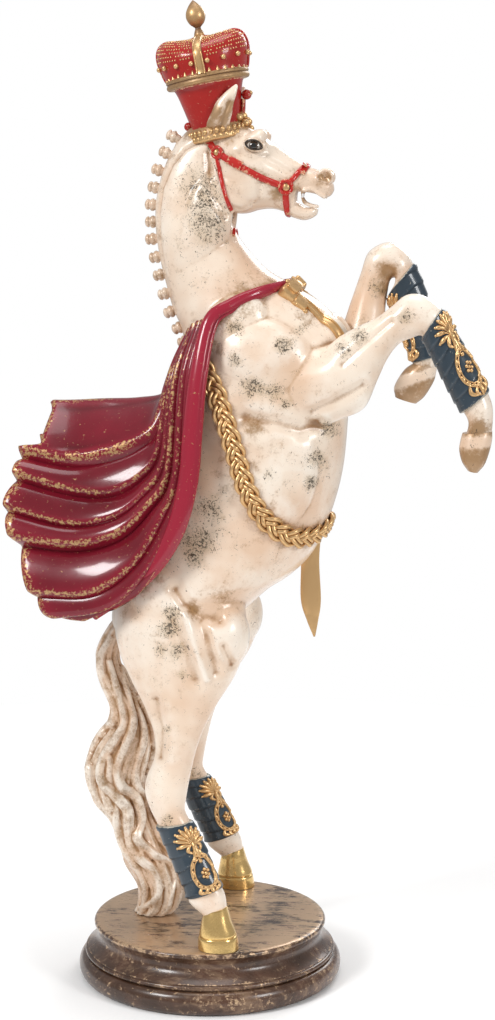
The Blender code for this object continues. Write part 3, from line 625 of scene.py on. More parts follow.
def grid_faces(rows, columns, closed):
    """Quads of a grid of points; a closed one joins its last column to its first."""
    i, j = np.meshgrid(np.arange(rows - 1), np.arange(columns if closed else columns - 1), indexing="ij")
    k = (j + 1) % columns
    corners = (i * columns + j, i * columns + k, (i + 1) * columns + k, (i + 1) * columns + j)
    return np.stack([c.ravel() for c in corners], 1)


class Form:
    """Closed shapes, in units, gathered as one set of points and faces."""

    def __init__(self, *shapes):
        self.points, self.faces, self.count = [], [], 0
        for rings in shapes:
            self.add(rings)

    def add_faces(self, points, faces):
        self.points.append(points.reshape(-1, 3))
        self.faces.extend((faces + self.count).tolist())
        self.count += len(self.points[-1])

    def add(self, rings):
        """A closed skin through rings of points, with a fan over each end."""
        rows, columns = rings.shape[:2]
        points = np.vstack([rings.reshape(-1, 3), rings[:1].mean(1), rings[-1:].mean(1)])
        start, j = self.count, np.arange(columns)
        k, last = (j + 1) % columns, (rows - 1) * columns
        self.add_faces(points, grid_faces(rows, columns, True))
        for fan in ((0 * j + last + columns, k, j), (0 * j + last + columns + 1, last + j, last + k)):
            self.faces.extend((np.stack(fan, 1) + start).tolist())

    def add_both(self, rings):
        self.add(rings)
        self.add(mirrored(rings))

    def add_slab(self, front, back):
        """A closed sheet between two grids of points, with a strip along each of its edges."""
        rows, columns = front.shape[:2]
        half, start = rows * columns, self.count
        quads = grid_faces(rows, columns, False)
        points = np.vstack([front.reshape(-1, 3), back.reshape(-1, 3)])
        self.add_faces(points, np.vstack([quads, quads[:, ::-1] + half]))
        left, right = np.arange(0, half, columns), np.arange(columns - 1, half, columns)
        for edge in (np.arange(columns), right, np.arange(half - columns, half)[::-1], left[::-1]):
            a, b = edge[:-1], edge[1:]
            self.faces.extend((np.stack([b, a, a + half, b + half], 1) + start).tolist())

    def surface(self):
        return BVHTree.FromPolygons(np.vstack(self.points).tolist(), self.faces)


def settle(surface, points, inward, reach=60):
    """Moves each point along its inward direction to where it first meets the surface, from outside."""
    settled, outward = [], []
    for point, direction in zip(np.asarray(points, float), np.asarray(inward, float)):
        aim = Vector(direction).normalized()
        hit, normal, _, _ = surface.ray_cast(Vector(point) - aim * reach, aim, 2 * reach)
        settled.append(hit if hit else point)
        outward.append(-aim if normal is None or normal.dot(aim) > 0 else normal)
    outward = np.array(outward, float)
    for _ in range(3):
        outward[1:-1] = unit(outward[:-2] + outward[1:-1] + outward[2:])
    return np.array(settled, float), outward


def mesh_object(name, form):
    """An object of a form, in metres, with its faces turned outwards."""
    mesh = bpy.data.meshes.new(name)
    points = np.vstack(form.points) * UNIT + np.array([0, 0, SEAT])
    mesh.from_pydata(points.tolist(), [], form.faces)
    turn_outwards(mesh)
    made = bpy.data.objects.new(name, mesh)
    bpy.context.scene.collection.objects.link(made)
    return made


def turn_outwards(mesh):
    shape = bmesh.new()
    shape.from_mesh(mesh)
    bmesh.ops.recalc_face_normals(shape, faces=shape.faces)
    shape.to_mesh(mesh)
    shape.free()


def baked(made):
    """The object with its modifiers applied."""
    bpy.context.view_layer.update()
    graph = bpy.context.evaluated_depsgraph_get()
    mesh = bpy.data.meshes.new_from_object(made.evaluated_get(graph), depsgraph=graph)
    made.modifiers.clear()
    made.data = mesh
    return made


def grown(made, voxel, rounds):
    """One skin over all the object's shapes, of faces a voxel wide, smoothed for some rounds."""
    skin = made.modifiers.new("one skin", "REMESH")
    skin.mode = "VOXEL"
    skin.voxel_size = voxel * UNIT
    soft = made.modifiers.new("soft forms", "SMOOTH")
    soft.factor, soft.iterations = 0.5, rounds
    return baked(made)


def mesh_arrays(mesh):
    """Points in units, and unit normals, of a mesh."""
    points, normals = np.empty(len(mesh.vertices) * 3), np.empty(len(mesh.vertices) * 3)
    mesh.vertices.foreach_get("co", points)
    mesh.vertex_normals.foreach_get("vector", normals)
    return (points.reshape(-1, 3) - np.array([0, 0, SEAT])) / UNIT, normals.reshape(-1, 3)


def surface_of(*pieces):
    """A search tree of the pieces' faces, in units."""
    points, faces, count = [], [], 0
    for made in pieces:
        made.data.calc_loop_triangles()
        corners = np.empty(len(made.data.loop_triangles) * 3, int)
        made.data.loop_triangles.foreach_get("vertices", corners)
        points.append(mesh_arrays(made.data)[0])
        faces.append(corners.reshape(-1, 3) + count)
        count += len(points[-1])
    return BVHTree.FromPolygons(np.vstack(points).tolist(), np.vstack(faces).tolist())


def put_points(mesh, points):
    mesh.vertices.foreach_set("co", (points * UNIT + np.array([0, 0, SEAT])).ravel())
    mesh.update()


def mark(mesh, name, values):
    mesh.attributes.new(name, "FLOAT", "POINT").data.foreach_set("value", np.asarray(values, np.float32))


def mark_relief(mesh, rounds, reach, name="relief"):
    """Marks how far each point stands out of the average of its surroundings, as a share of reach: places are
    averaged with their neighbours' for some rounds, and the shift is read along the normal."""
    points, normals = mesh_arrays(mesh)
    edges = np.empty(len(mesh.edges) * 2, int)
    mesh.edges.foreach_get("vertices", edges)
    a, b = np.concatenate([edges[0::2], edges[1::2]]), np.concatenate([edges[1::2], edges[0::2]])
    count = np.maximum(np.bincount(a, minlength=len(points)), 1)
    average = points.copy()
    for _ in range(rounds):
        near = np.stack([np.bincount(a, average[b, k], len(points)) for k in range(3)], 1) / count[:, None]
        average = (average + near) / 2
    mark(mesh, name, np.clip(((points - average) * normals).sum(1) / reach, -1, 1))


def finished(made, paint, relief=(6, 0.5), smooth=60):
    """Shades, paints and hangs a piece on the root body."""
    mesh = made.data
    mesh.shade_smooth()
    mesh.set_sharp_from_angle(angle=math.radians(smooth))
    if relief:
        mark_relief(mesh, *relief)
    mesh.materials.clear()
    mesh.materials.append(paint)
    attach(made, "root")
    return made


def one_side(points):
    """Points with those on the left brought over to mirrored places, so that a run on one side stands for both."""
    points = np.asarray(points, float)
    return np.abs(points * [0, 1, 0]) + points * [1, 0, 1]


def off_path(points, path):
    """Distance from each point to a path, both in the same two or three coordinates."""
    path = np.asarray(path, float)
    nearest = np.full(len(points), 1e9)
    for a, b in zip(path, path[1:]):
        t = np.clip(((points - a) @ (b - a)) / ((b - a) @ (b - a)), 0, 1)
        nearest = np.minimum(nearest, np.linalg.norm(points - a - t[:, None] * (b - a), axis=1))
    return nearest


def off_point(points, x, z):
    return np.hypot(points[:, 0] - x, points[:, 2] - z)


def strongest(marks):
    """The greatest of some marks, each its strength times exp of minus the distance over its radius, squared."""
    return np.max([strength * np.exp(-((distance / radius) ** 2)) for distance, radius, strength in marks], axis=0)


def evened(run, rounds):
    """A run of points, each but the ends averaged with its neighbours for some rounds."""
    run = run.copy()
    for _ in range(rounds):
        run[1:-1] = (run[:-2] + run[1:-1] * 2 + run[2:]) / 4
    return run


def laid(surface, points, count, inward, lift, width, thickness, sides=16):
    """Rings of a strap along points, moved inward onto the surface and lifted off it."""
    lying, out = settle(surface, smooth_path(points, count), np.tile(inward, (count, 1)))
    return strip(lying + out * lift, out, width, thickness, sides)


def evenly(made, **marks):
    """The object, with each named mark the same all over."""
    for name, value in marks.items():
        mark(made.data, name, np.full(len(made.data.vertices), value))
    return made


def piece(name, form, paint, slot, relief=(6, 0.5), smooth=60, **marks):
    return finished(evenly(mesh_object(name, form), **marks), paint, relief, smooth)


def carve(mesh):
    """Presses the grooves and dents: each pushes points in by its depth times exp of minus the distance over its
    width, squared, where the surface faces sideways."""
    points, normals = mesh_arrays(mesh)
    push = np.zeros(len(points))
    sideways = np.clip(np.abs(normals[:, 1]) * 2 - 0.3, 0, 1)
    for path, width, depth, side in GROOVES:
        here = sideways * (points[:, 1] * side >= 0) if side else sideways
        push += here * depth * np.exp(-((off_path(points[:, [0, 2]], path) / width) ** 2))
    for x, y, z, radius, depth in DENTS:
        distance = np.linalg.norm(one_side(points) - [x, -y, z], axis=1)
        push += depth * np.exp(-((distance / radius) ** 2))
    put_points(mesh, points - normals * push[:, None])


def cut_at_head(made, keep_head):
    """Keeps the head, or all but the head: what lies above the jaw and before a plane that runs under the throat
    strap and through the poll."""
    (x0, z0), (x1, z1) = HEAD_CUT
    normal = Vector((z0 - z1, 0, x1 - x0)).normalized()
    shape = bmesh.new()
    shape.from_mesh(made.data)
    low = SEAT + (z1 - HEAD_DROP) * UNIT
    if keep_head:
        bmesh.ops.delete(shape, geom=[v for v in shape.verts if v.co.z < low], context="VERTS")
    high = {v for v in shape.verts if v.co.z > low}
    above = [*high, *(part for part in (*shape.edges, *shape.faces) if high.issuperset(part.verts))]
    place = Vector((x0 * UNIT, 0, z0 * UNIT + SEAT))
    cut = bmesh.ops.bisect_plane(shape, geom=above, plane_co=place, plane_no=normal, clear_inner=keep_head,
                                 clear_outer=not keep_head)
    rim = [e for e in cut["geom_cut"] if isinstance(e, bmesh.types.BMEdge)]
    bmesh.ops.holes_fill(shape, edges=rim)
    shape.to_mesh(made.data)
    shape.free()


def thinned(made, triangles):
    made.data.calc_loop_triangles()
    have = len(made.data.loop_triangles)
    if have > triangles:
        fewer = made.modifiers.new("fewer faces", "DECIMATE")
        fewer.ratio = triangles / have
        baked(made)


def flesh_form():
    """Trunk, head, jaws, legs, ears and muscle masses."""
    form = Form(sections(TRUNK, 110, 56, 0.92), sections(SKULL, 44, 40, 0.85), sections(UPPER_JAW, 36, 32, 0.9),
                sections(LOWER_JAW, 24, 28, 0.9), sections(NEAR_FORELEG, 96, 32), sections(FAR_FORELEG, 90, 32))
    right = sections(HIND_LEG, 96, 32)
    form.add(right)
    form.add(left_foot(right))
    form.add_both(sections(EAR, 24, 24))
    for run, off, radius in LIPS:
        path = smooth_path([(x, -off, z) for x, z in run], 40)
        form.add_both(strip(path, (0, -1, 0), radius, radius, 14))
    for x, y, z, rx, ry, rz, tilt in MUSCLES:
        form.add_both(ovoid((x, y, z), (rx, ry, rz), math.radians(tilt), 28, 20))
    return form


def left_foot(right):
    """The left hind leg: the right one mirrored, set back below the hock."""
    below_hock = np.clip((300 - right[..., 2:]) / 200, 0, 1)
    return mirrored(right - np.array([LEFT_FOOT_BACK, 0, 0]) * below_hock)


def make_flesh(paint):
    """The horse's body and head, as two skins that meet under the throat strap; the head's is finer."""
    form = flesh_form()
    pieces = []
    for name, (voxel, rounds, triangles), keep_head in (("horse_body", BODY_SKIN, False),
                                                        ("horse_head", HEAD_SKIN, True)):
        made = grown(mesh_object(name, form), voxel, rounds)
        if keep_head:
            cut_at_head(made, True)
        carve(made.data)
        if not keep_head:
            cut_at_head(made, False)
        thinned(made, triangles)
        points, _ = mesh_arrays(made.data)
        fade = np.where(points[:, 1] < 0, 1, 0.7)
        spots = [(off_point(points, x, z), radius, strength) for x, z, radius, strength in GILDING]
        runs = [(off_path(one_side(points), one_side(run)), radius, strength) for run, radius, strength in GILT_RUNS]
        mark(made.data, "speckle", strongest([(off_point(points, x, z), r, 1.25) for x, z, r in SPECKLES]) * fade)
        mark(made.data, "gilding", strongest(spots + runs))
        mark_relief(made.data, 70, 4, "cavity")
        finished(made, paint, (12, 1.6))
        pieces.append(made)
    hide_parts("horse_figure")
    return pieces


def make_tail(paint):
    """The tail: its section swells into locks that wind down it, each split into finer strands, as the size of a
    sine of half as many turns as there are locks."""
    rows, sides = 300, 216
    rings = sections(TAIL, rows, sides)
    middle = rings.mean(axis=1, keepdims=True)
    angle, drop = around(sides)[None], np.linspace(0, 1, rows)[:, None]
    wind = 2.6 * drop + 0.5 * np.sin(8.5 * drop) + 0.25 * np.sin(19 * drop)
    lock = np.abs(np.sin(4.5 * angle + wind)) ** 0.7
    strand = np.abs(np.sin(13.5 * angle + 3 * wind + 0.8 * np.sin(14 * drop))) ** 0.8
    form = Form(middle + (rings - middle) * (0.72 + 0.17 * lock + 0.05 * strand)[..., None])
    surface = form.surface()
    for run, half_width in TAIL_LOCKS:
        path = smooth_path([(x, -6, z) for x, z in run], 12 * len(run))
        lying, out = settle(surface, path, np.tile((0, 1, 0), (len(path), 1)))
        lying = evened(lying, 12)
        taper = np.sin(np.linspace(0.06, 1, len(path)) * math.pi * 0.97) ** 0.45
        rings = strip(lying, out, half_width * taper, half_width * 0.85 * taper, 40)
        hair = np.abs(np.sin(3.5 * around(40)[None] + np.linspace(0, 3, len(path))[:, None])) ** 0.8
        form.add_both(lying[:, None] + (rings - lying[:, None]) * (0.84 + 0.16 * hair)[..., None])
    voxel, rounds, triangles = TAIL_SKIN
    made = grown(mesh_object("tail", form), voxel, rounds)
    thinned(made, triangles)
    points, _ = mesh_arrays(made.data)
    evenly(made, gilding=0.3)
    mark(made.data, "speckle", strongest([(off_point(points, -122, 165), 26, 1)]) - 0.8)
    mark_relief(made.data, 60, 1.9, "cavity")
    return finished(made, paint, (16, 0.9))


def fold_depth(place):
    """Depth of the cape's folds between the middle of the back, 0, and an edge, 1: below each ridge a steep drop, a
    half cosine, into a crease, and then a full swell, a power of a sine, up to the next."""
    phase = np.abs(place) * len(CAPE_FOLDS)
    panel = np.minimum(phase.astype(int), len(CAPE_FOLDS) - 1)
    t = phase - panel
    drop = 0.5 + 0.5 * np.cos(np.minimum(t / 0.26, 1) * math.pi)
    swell = np.sin(np.clip((t - 0.26) / 0.74, 0, 1) * math.pi / 2) ** 0.85
    return np.array(CAPE_FOLDS)[panel] * (1 - np.maximum(drop, swell))


def cape_sheet(rows, across):
    strands = [smooth_path(s, rows) for s in CAPE_STRANDS]
    whole = strands[:0:-1] + [strands[0]] + [mirrored(s) for s in strands[1:]]
    sheet = np.stack([smooth_path(np.array(whole)[:, k], across) for k in range(rows)])
    down, place = np.linspace(0, 1, rows)[:, None], np.linspace(-1, 1, across)[None]
    fold = CAPE_LIFT - fold_depth(place) * (0.15 + 0.85 * down**0.7)
    fold = fold + 1.6 * np.sin(11 * down + 7 * np.abs(place)) * down
    run = unit(np.gradient(sheet, axis=0))
    scallop = CAPE_SCALLOP * (0.3 - fold_depth(place) / max(CAPE_FOLDS)) * down**5
    first = np.minimum(np.abs(place) * len(CAPE_FOLDS), 1)
    scallop = scallop - CAPE_STEP * first * np.minimum((1 - first) / 0.12, 1) * down**3
    return sheet + sheet_normals(sheet) * fold[..., None] + run * scallop[..., None]


def make_cape(surface, paint):
    """The cape: a thick sheet over its strands, thinned to a round hem, and the rolled edges from the buckle
    down both flanks."""
    rows, across = 100, 380
    folded = cape_sheet(rows, across)
    u, v = np.meshgrid(np.linspace(0, 1, rows), np.linspace(-1, 1, across), indexing="ij")
    inset = np.clip((1 - u) * CAPE_LENGTH / (CAPE_THICKNESS / 2), 0.02, 1)
    half = np.sqrt(1 - (1 - inset) ** 2)[..., None] * sheet_normals(folded) * CAPE_THICKNESS / 2
    form = Form()
    form.add_slab(folded + half, folded - half)
    count = CAPE_EDGE_POINTS
    edge = smooth_path(CAPE_EDGE, count)
    out = unit(edge * np.array([0.4, 1, 0]))
    radii = smooth_path(np.array(CAPE_EDGE_RADII)[:, None], count)[:, 0]
    lying, _ = settle(surface, edge, -out)
    lift = np.maximum(((lying - edge) * out).sum(1) + radii * 0.35, 0) * (np.arange(count) < CAPE_EDGE_LYING)
    edge = edge + out * np.convolve(np.pad(lift, 12, "edge"), np.ones(25) / 25, "valid")[:, None]
    roll = strip(edge, out, radii, radii * 0.8, 40)
    share = np.linspace(0, 1, count)[:, None]
    crease = np.exp(-(((around(40)[None] - 2.35) / 0.16) ** 2)) * np.exp(-(((share - 0.32) / 0.2) ** 2))
    roll = edge[:, None] + (roll - edge[:, None]) * (1 - 0.22 * crease[..., None])
    before = form.count
    form.add_both(roll)
    made = mesh_object("cape", form)
    sheet_tint = 0.35 * np.clip(np.abs(v) * 1.1 - 0.3, 0, 1).ravel() ** 2
    tint = np.concatenate([sheet_tint, sheet_tint, np.ones(form.count - before)])
    mark(made.data, "tint", tint)
    return finished(made, paint, (14, 1.2))


def crown_frame(points):
    """Crown points, as distances along its own axes, turned by the crown's tilt and set on its band."""
    c, s = math.cos(CROWN_TILT), math.sin(CROWN_TILT)
    x, y, z = np.moveaxis(np.asarray(points, float), -1, 0)
    return np.stack([CROWN_BAND[0] + c * x - s * z, y, CROWN_BAND[1] + s * x + c * z], -1)


def crown_cap(share, angle, proud=0.0):
    """Points of the crown's cap: radius and height at a share of its profile, turned from the lobes' profile at
    front and back to the sides' profile as cos squared."""
    table = np.linspace(0, 1, 80)
    lobe, side = smooth_path(CROWN_LOBE, 80), smooth_path(CROWN_SIDE, 80)
    blend = np.cos(angle) ** 2
    radius, height = (np.interp(share, table, lobe[:, k]) * blend + np.interp(share, table, side[:, k]) * (1 - blend)
                      for k in (0, 1))
    radius = radius + proud * np.cos(share * 1.4)
    height = height + proud * np.sin(share * 1.4)
    return np.stack([radius * np.cos(angle), radius * np.sin(angle), height], -1)


def spun(profile, count, sides):
    """A smoothed profile turned about the crown's axis."""
    return crown_frame(turned(smooth_path(profile, count), sides))


def crown_arch(share, turn, low, high):
    """A run over the cap at one angle, at a height above it, and the direction away from the cap."""
    spine = crown_frame(crown_cap(share, share * 0 + turn, low))
    return spine, unit(crown_frame(crown_cap(share, share * 0 + turn, high)) - spine)


def make_crown(scarlet, gold):
    """The crown: red cap and cone; gold band, arch, beads, points, pearls, finial and foot."""
    u, a = np.meshgrid(np.linspace(0, 1, 70), around(96), indexing="ij")
    red = Form(crown_frame(crown_cap(u, a)), spun(CROWN_CONE, 30, 72))
    share = np.linspace(0.02, 0.97, 60)
    for turn in (0, math.pi):
        red.add(strip(*crown_arch(share, turn, 0.3, 2), 3.2, 1.6, 14))
    for centre, radius in (((37.5, 0, -24), 5.4), ((-30, 0, -45), 4.6)):
        red.add(ovoid(crown_frame(centre), (radius,) * 3))
    drop = smooth_path([crown_frame((33.5, 0, -28)), crown_frame((29.5, 0, -46))], 12)
    red.add(strip(drop, (0.97, 0, -0.2), 4.5, 2.4))
    piece("crown_red", red, scarlet, "scarlet_lacquer", (6, 0.8), tint=0.3)
    trim = Form(spun(CROWN_RIM, 34, 120), spun(FINIAL, 44, 40), spun(CROWN_FOOT, 24, 90))
    for turn in (-math.pi / 2, math.pi / 2):
        spine, out = crown_arch(share, turn, 0.8, 3)
        for shift, width, rise in ((0, 4.6, 1.6), (-4.2, 1.1, 2.4), (4.2, 1.1, 2.4)):
            trim.add(strip(spine + np.array([shift, 0, 0]) * (1 - share[:, None] * 0.35), out, width, rise, 12))
    trim.add(ovoid(crown_frame((41.5, 0, -23)), (2.8,) * 3))
    for turn in around(30) + math.pi / 30:
        foot = np.array([42.8 * math.cos(turn), 42.8 * math.sin(turn), 4])
        trim.add(crown_frame(turned(smooth_path(CROWN_POINT, 6), 8) + foot))
    for turn in around(16) + math.pi / 16:
        if abs(math.cos(turn)) > 0.15:
            trim.add(ovoid(crown_frame(crown_cap(0.2, turn, 1.5)), (2.7,) * 3, sides=12, rows=9))
    for row, level in enumerate(np.linspace(0.28, 0.84, 12)):
        for k, turn in enumerate(around(84) + row % 2 * math.pi / 84):
            if min(abs(math.cos(turn)), abs(math.sin(turn))) > 0.15 and (5 * k + 3 * row) % 7:
                trim.add(ovoid(crown_frame(crown_cap(level, turn, 0.1)), (0.95,) * 3, sides=6, rows=4))
    for k, turn in enumerate(around(60)):
        leaf = crown_frame((31 * math.cos(turn), 31 * math.sin(turn), -55.5 - 6 * (k % 2)))
        trim.add(ovoid(leaf, (2.4, 2.4, 3.4), sides=8, rows=6))
    piece("crown_gold", trim, gold, "antique_gold", (4, 0.4), tint=0.4)
    drops = Form(*(ovoid((x, y, z), (r, r * 0.8, r * 0.8), 0.6) for x, y, z, r in BROW_DROPS))
    piece("forelock_ornament", drops, gold, "antique_gold", (4, 0.6))


def make_mane(paint):
    """Plaited knobs along the crest: each a turned bobbin that points out of the neck, with a waist and a cap."""
    places = np.array(MANE_KNOBS, float)
    rings = turned(smooth_path(KNOB, 26), 20)
    form = Form()
    for (x, z), (dx, dz) in zip(places, np.gradient(places, axis=0)):
        out = np.array([dz, 0, -dx]) / math.hypot(dx, dz)
        out = out if out[0] < 0 else -out
        up = np.array([-out[2], 0, out[0]])
        form.add(np.array([x + 4, 0, z]) + rings[..., :1] * up + rings[..., 1:2] * [0, 1, 0] + rings[..., 2:] * out)
    form.add(sections([(x + 7, z - 1, x + 20, z - 4, 0, 5) for x, z in MANE_KNOBS], 80, 24))
    return piece("mane_knobs", form, paint, "ivory_lacquer", (6, 0.4), speckle=0, gilding=0.25)


def make_bridle(surface, scarlet, gold):
    """Red straps laid on the head, with rings and gold studs where they meet."""
    straps, studs = Form(), Form()
    sideways = (0, 1, 0)
    for run, width in ((CHEEK_STRAP, 3.6), (NOSEBAND, 2.8), (CHIN_STRAP, 3.4), (THROAT_STRAP, 2.2)):
        straps.add_both(laid(surface, [(x, -20, z) for x, z in run], 40, sideways, 0.7, width, 1.7))
    over_nose = [(106, -14, 831), (109, 0, 834), (106, 14, 831)]
    straps.add(laid(surface, over_nose, 30, (-0.4, 0, -1), 0.6, 2.8, 1.6))
    for x, z in ((86, 781), (28, 784)):
        under_jaw = [(x, -14, z), (x, 0, z - 1), (x, 14, z)]
        straps.add(laid(surface, under_jaw, 30, (0, 0, 1), 0.6, 3, 1.5))
    keeper = [(26, -20, 836), (34, -20, 831.5), (40, -20, 828)]
    straps.add_both(laid(surface, keeper, 14, sideways, 1.6, 4.8, 1.8, 14))
    turn = np.linspace(0, 2 * math.pi, 49)[:, None]
    for x, z, radius, hole in ((14, 843, 5.6, 2.6), (85, 807, 6.6, 3.2)):
        (lying,), (out,) = settle(surface, [(x, -20, z)], [sideways])
        side = unit(np.cross(out, (0, 0, 1)))
        ring = lying + out * 1.4 + radius * (np.cos(turn) * side + np.sin(turn) * np.cross(side, out))
        straps.add_both(strip(ring, out, 1.9, 1.9, 12))
        studs.add_both(ovoid(lying + out * 1.2, (hole + 1, 2.2, hole + 1)))
    piece("bridle", straps, scarlet, "scarlet_lacquer", (5, 0.5), tint=0.9)
    piece("bridle_studs", studs, gold, "antique_gold", (4, 0.5))


def make_eyes(paint, dark, line):
    """Eyeballs, with a dark rim of lids round each."""
    balls, lids, lashes = Form(), Form(), Form()
    x, y, z = EYE
    balls.add_both(ovoid((x, y, z), (8.6, 7.8, 6.2), 0.1, 36, 28))
    turn = np.linspace(0, 2 * math.pi, 81)
    for form, wide, high, low, radius, off in ((lids, 10.2, 7, 5.2, 1.4, 6.2), (lashes, 8.6, 5.8, 4, 0.9, 7.2)):
        across, up = wide * np.cos(turn), np.where(np.sin(turn) > 0, high, low) * np.sin(turn)
        up = up + 0.012 * across**2 * np.sign(across) * -1
        path = np.stack([x + across, y - off + 0.026 * across**2, z + up - 0.08 * across], 1)
        form.add_both(strip(path, (0, -1, 0), radius, radius, 12))
    piece("eyes", balls, paint, "eye_black", None)
    piece("lash_lines", lashes, dark, "eye_black", None)
    piece("eyelids", lids, line, "ivory_lacquer", (4, 0.5), gilding=0.35)


def make_girth(surface, gold):
    """The plait laid round the belly: each strand, a pair of wires, swings from side to side as a sine, and over
    and under its neighbours as a sine of twice the pace."""
    girth = smooth_path(GIRTH, 320)
    inward = (np.array([60, 0, 500]) - girth) * np.array([1, 1, 0.3])
    lying, out = settle(surface, girth, inward)
    lying = evened(lying, 6)
    length = np.cumsum(np.linalg.norm(np.gradient(lying, axis=0), axis=1))
    side = unit(np.cross(np.gradient(lying, axis=0), out))
    swing, rise = GIRTH_WEAVE
    form = Form()
    for strand in range(GIRTH_STRANDS):
        turn = 2 * math.pi * (length / GIRTH_PITCH + strand / GIRTH_STRANDS)[:, None]
        path = lying + side * swing * np.sin(turn) + out * (rise * np.sin(2 * turn) + 2.6)
        across = unit(np.cross(np.gradient(path, axis=0), out))
        for shift in GIRTH_WIRES:
            form.add_both(strip(path + across * shift, out, GIRTH_WIRE_RADIUS, GIRTH_WIRE_RADIUS, 8))
    return piece("girth_plait", form, gold, "antique_gold", (8, 1))


def make_buckle(surface, gold):
    """The buckle on the chest with its square boss, the strap below it, and the lappet under the belly."""
    form = Form()
    out, run = unit(np.array([0.66, -0.5, 0.56])), np.array([0.8, 0.1, -0.6])
    run = unit(run - out * (run @ out))
    side = np.cross(out, run)
    (seat,), _ = settle(surface, [BUCKLE_SEAT], [-out])

    def plate(points, x=0, y=0):
        return seat + out * 2 + (points + np.array([x, y, 0])) @ np.stack([run, side, out])

    along, across = (np.abs(wave) ** 0.35 * np.sign(wave) for wave in (np.cos(around(32)), np.sin(around(32))))

    def slab(half_x, half_y, low, high):
        """Rings of a square plate with a bevelled face, from low to high."""
        steps = ((0.95, low), (1, low + 0.6), (1, high - 1.2), (0.9, high), (0.5, high + 0.4), (0.2, high + 0.4))
        return np.array([np.stack([half_x * k * along, half_y * k * across, 0 * along + h], -1) for k, h in steps])

    form.add_both(plate(slab(18, 8, -8, 2.5)))
    form.add_both(plate(slab(7.5, 7.5, -4, 6.5), -9, 8))
    form.add_both(plate(slab(8, 7, -4, 5), 7, -3))
    for x in (-17, -6, 5, 16):
        form.add_both(plate(ovoid((x, -8 if x > 0 else 9, 1.5), (3, 3, 2.4))))
    clasp = smooth_path([(90, -20, 702), (97, -8, 704), (97, 8, 704), (90, 20, 702)], 30)
    form.add(strip(clasp, (0.7, 0, 0.7), 7, 3, 16))
    strap = smooth_path([(101, -27, 686), (116, -30, 678), (132, -34, 668), (148, -38, 652)], 40)
    lying, out = settle(surface, strap, np.tile((-0.6, 0.5, -0.62), (40, 1)))
    side = unit(np.cross(np.gradient(lying, axis=0), out))
    for shift, width, rise in ((0, 5.2, 1.8), (-3.6, 1.6, 3), (3.6, 1.6, 3)):
        form.add_both(strip(lying + side * shift + out * 0.8, out, width, rise, 12))
    lappet = smooth_path(LAPPET, 40)
    rear, front, height = lappet[:, 0], lappet[:, 1], lappet[:, 2]
    width = np.array([0, 0.06, 0.5, 0.94, 1, 0.94, 0.5, 0.06])
    thick = np.array([0, 0.8, 1.5, 0.8, 0, -0.8, -1.5, -0.8])
    x = rear[:, None] + (front - rear)[:, None] * width
    form.add(np.stack([x, thick + 0 * x, height[:, None] + 0 * x], -1))
    return piece("buckle_and_lappet", form, gold, "antique_gold", (5, 0.6), 35)


def wrap_surface(rows, first, last, count=100, sides=80):
    """The bandage's skin: the leg's sections grown outwards, with a saw-toothed step that winds up the leg."""
    whole = sections(rows, (len(rows) - 1) * 40 + 1, sides)
    place = np.linspace(first * 40, last * 40, count)
    low = place.astype(int)
    t = (place - low)[:, None, None]
    rings = whole[low] * (1 - t) + whole[np.minimum(low + 1, len(whole) - 1)] * t
    middle = rings.mean(axis=1, keepdims=True)
    length = np.cumsum(np.linalg.norm(np.gradient(middle[:, 0], axis=0), axis=1))[:, None]
    angle = around(sides)[None]
    turn = length / WRAP_PITCH + angle / (2 * math.pi) + 0.05 * np.sin(3 * angle + length / 9)
    tooth = turn - np.floor(turn)
    step = 2.2 + 1.3 * np.minimum(tooth / 0.88, (1 - tooth) / 0.12)
    ends = np.clip(np.minimum(length - length[0], length[-1] - length) / 2.5, 0, 1)
    proud = step * np.sqrt(ends) + 0.4
    return rings + unit(rings - middle) * proud[..., None]


def on_surface(grid, along, turn, height):
    """Points over a closed grid, at a share of its length, an angle round it, and a height above it."""
    rows, sides = grid.shape[:2]
    i, j = np.clip(along, 0, 1) * (rows - 1), np.mod(turn, 2 * math.pi) / (2 * math.pi) * sides
    i0, j0 = np.minimum(i.astype(int), rows - 2), j.astype(int) % sides
    a, b = (i - i0)[:, None], (j - j.astype(int))[:, None]
    j1 = (j0 + 1) % sides
    point = ((grid[i0, j0] * (1 - b) + grid[i0, j1] * b) * (1 - a)
             + (grid[i0 + 1, j0] * (1 - b) + grid[i0 + 1, j1] * b) * a)
    out = unit(point - grid.mean(axis=1)[i0])
    return point + out * height, out


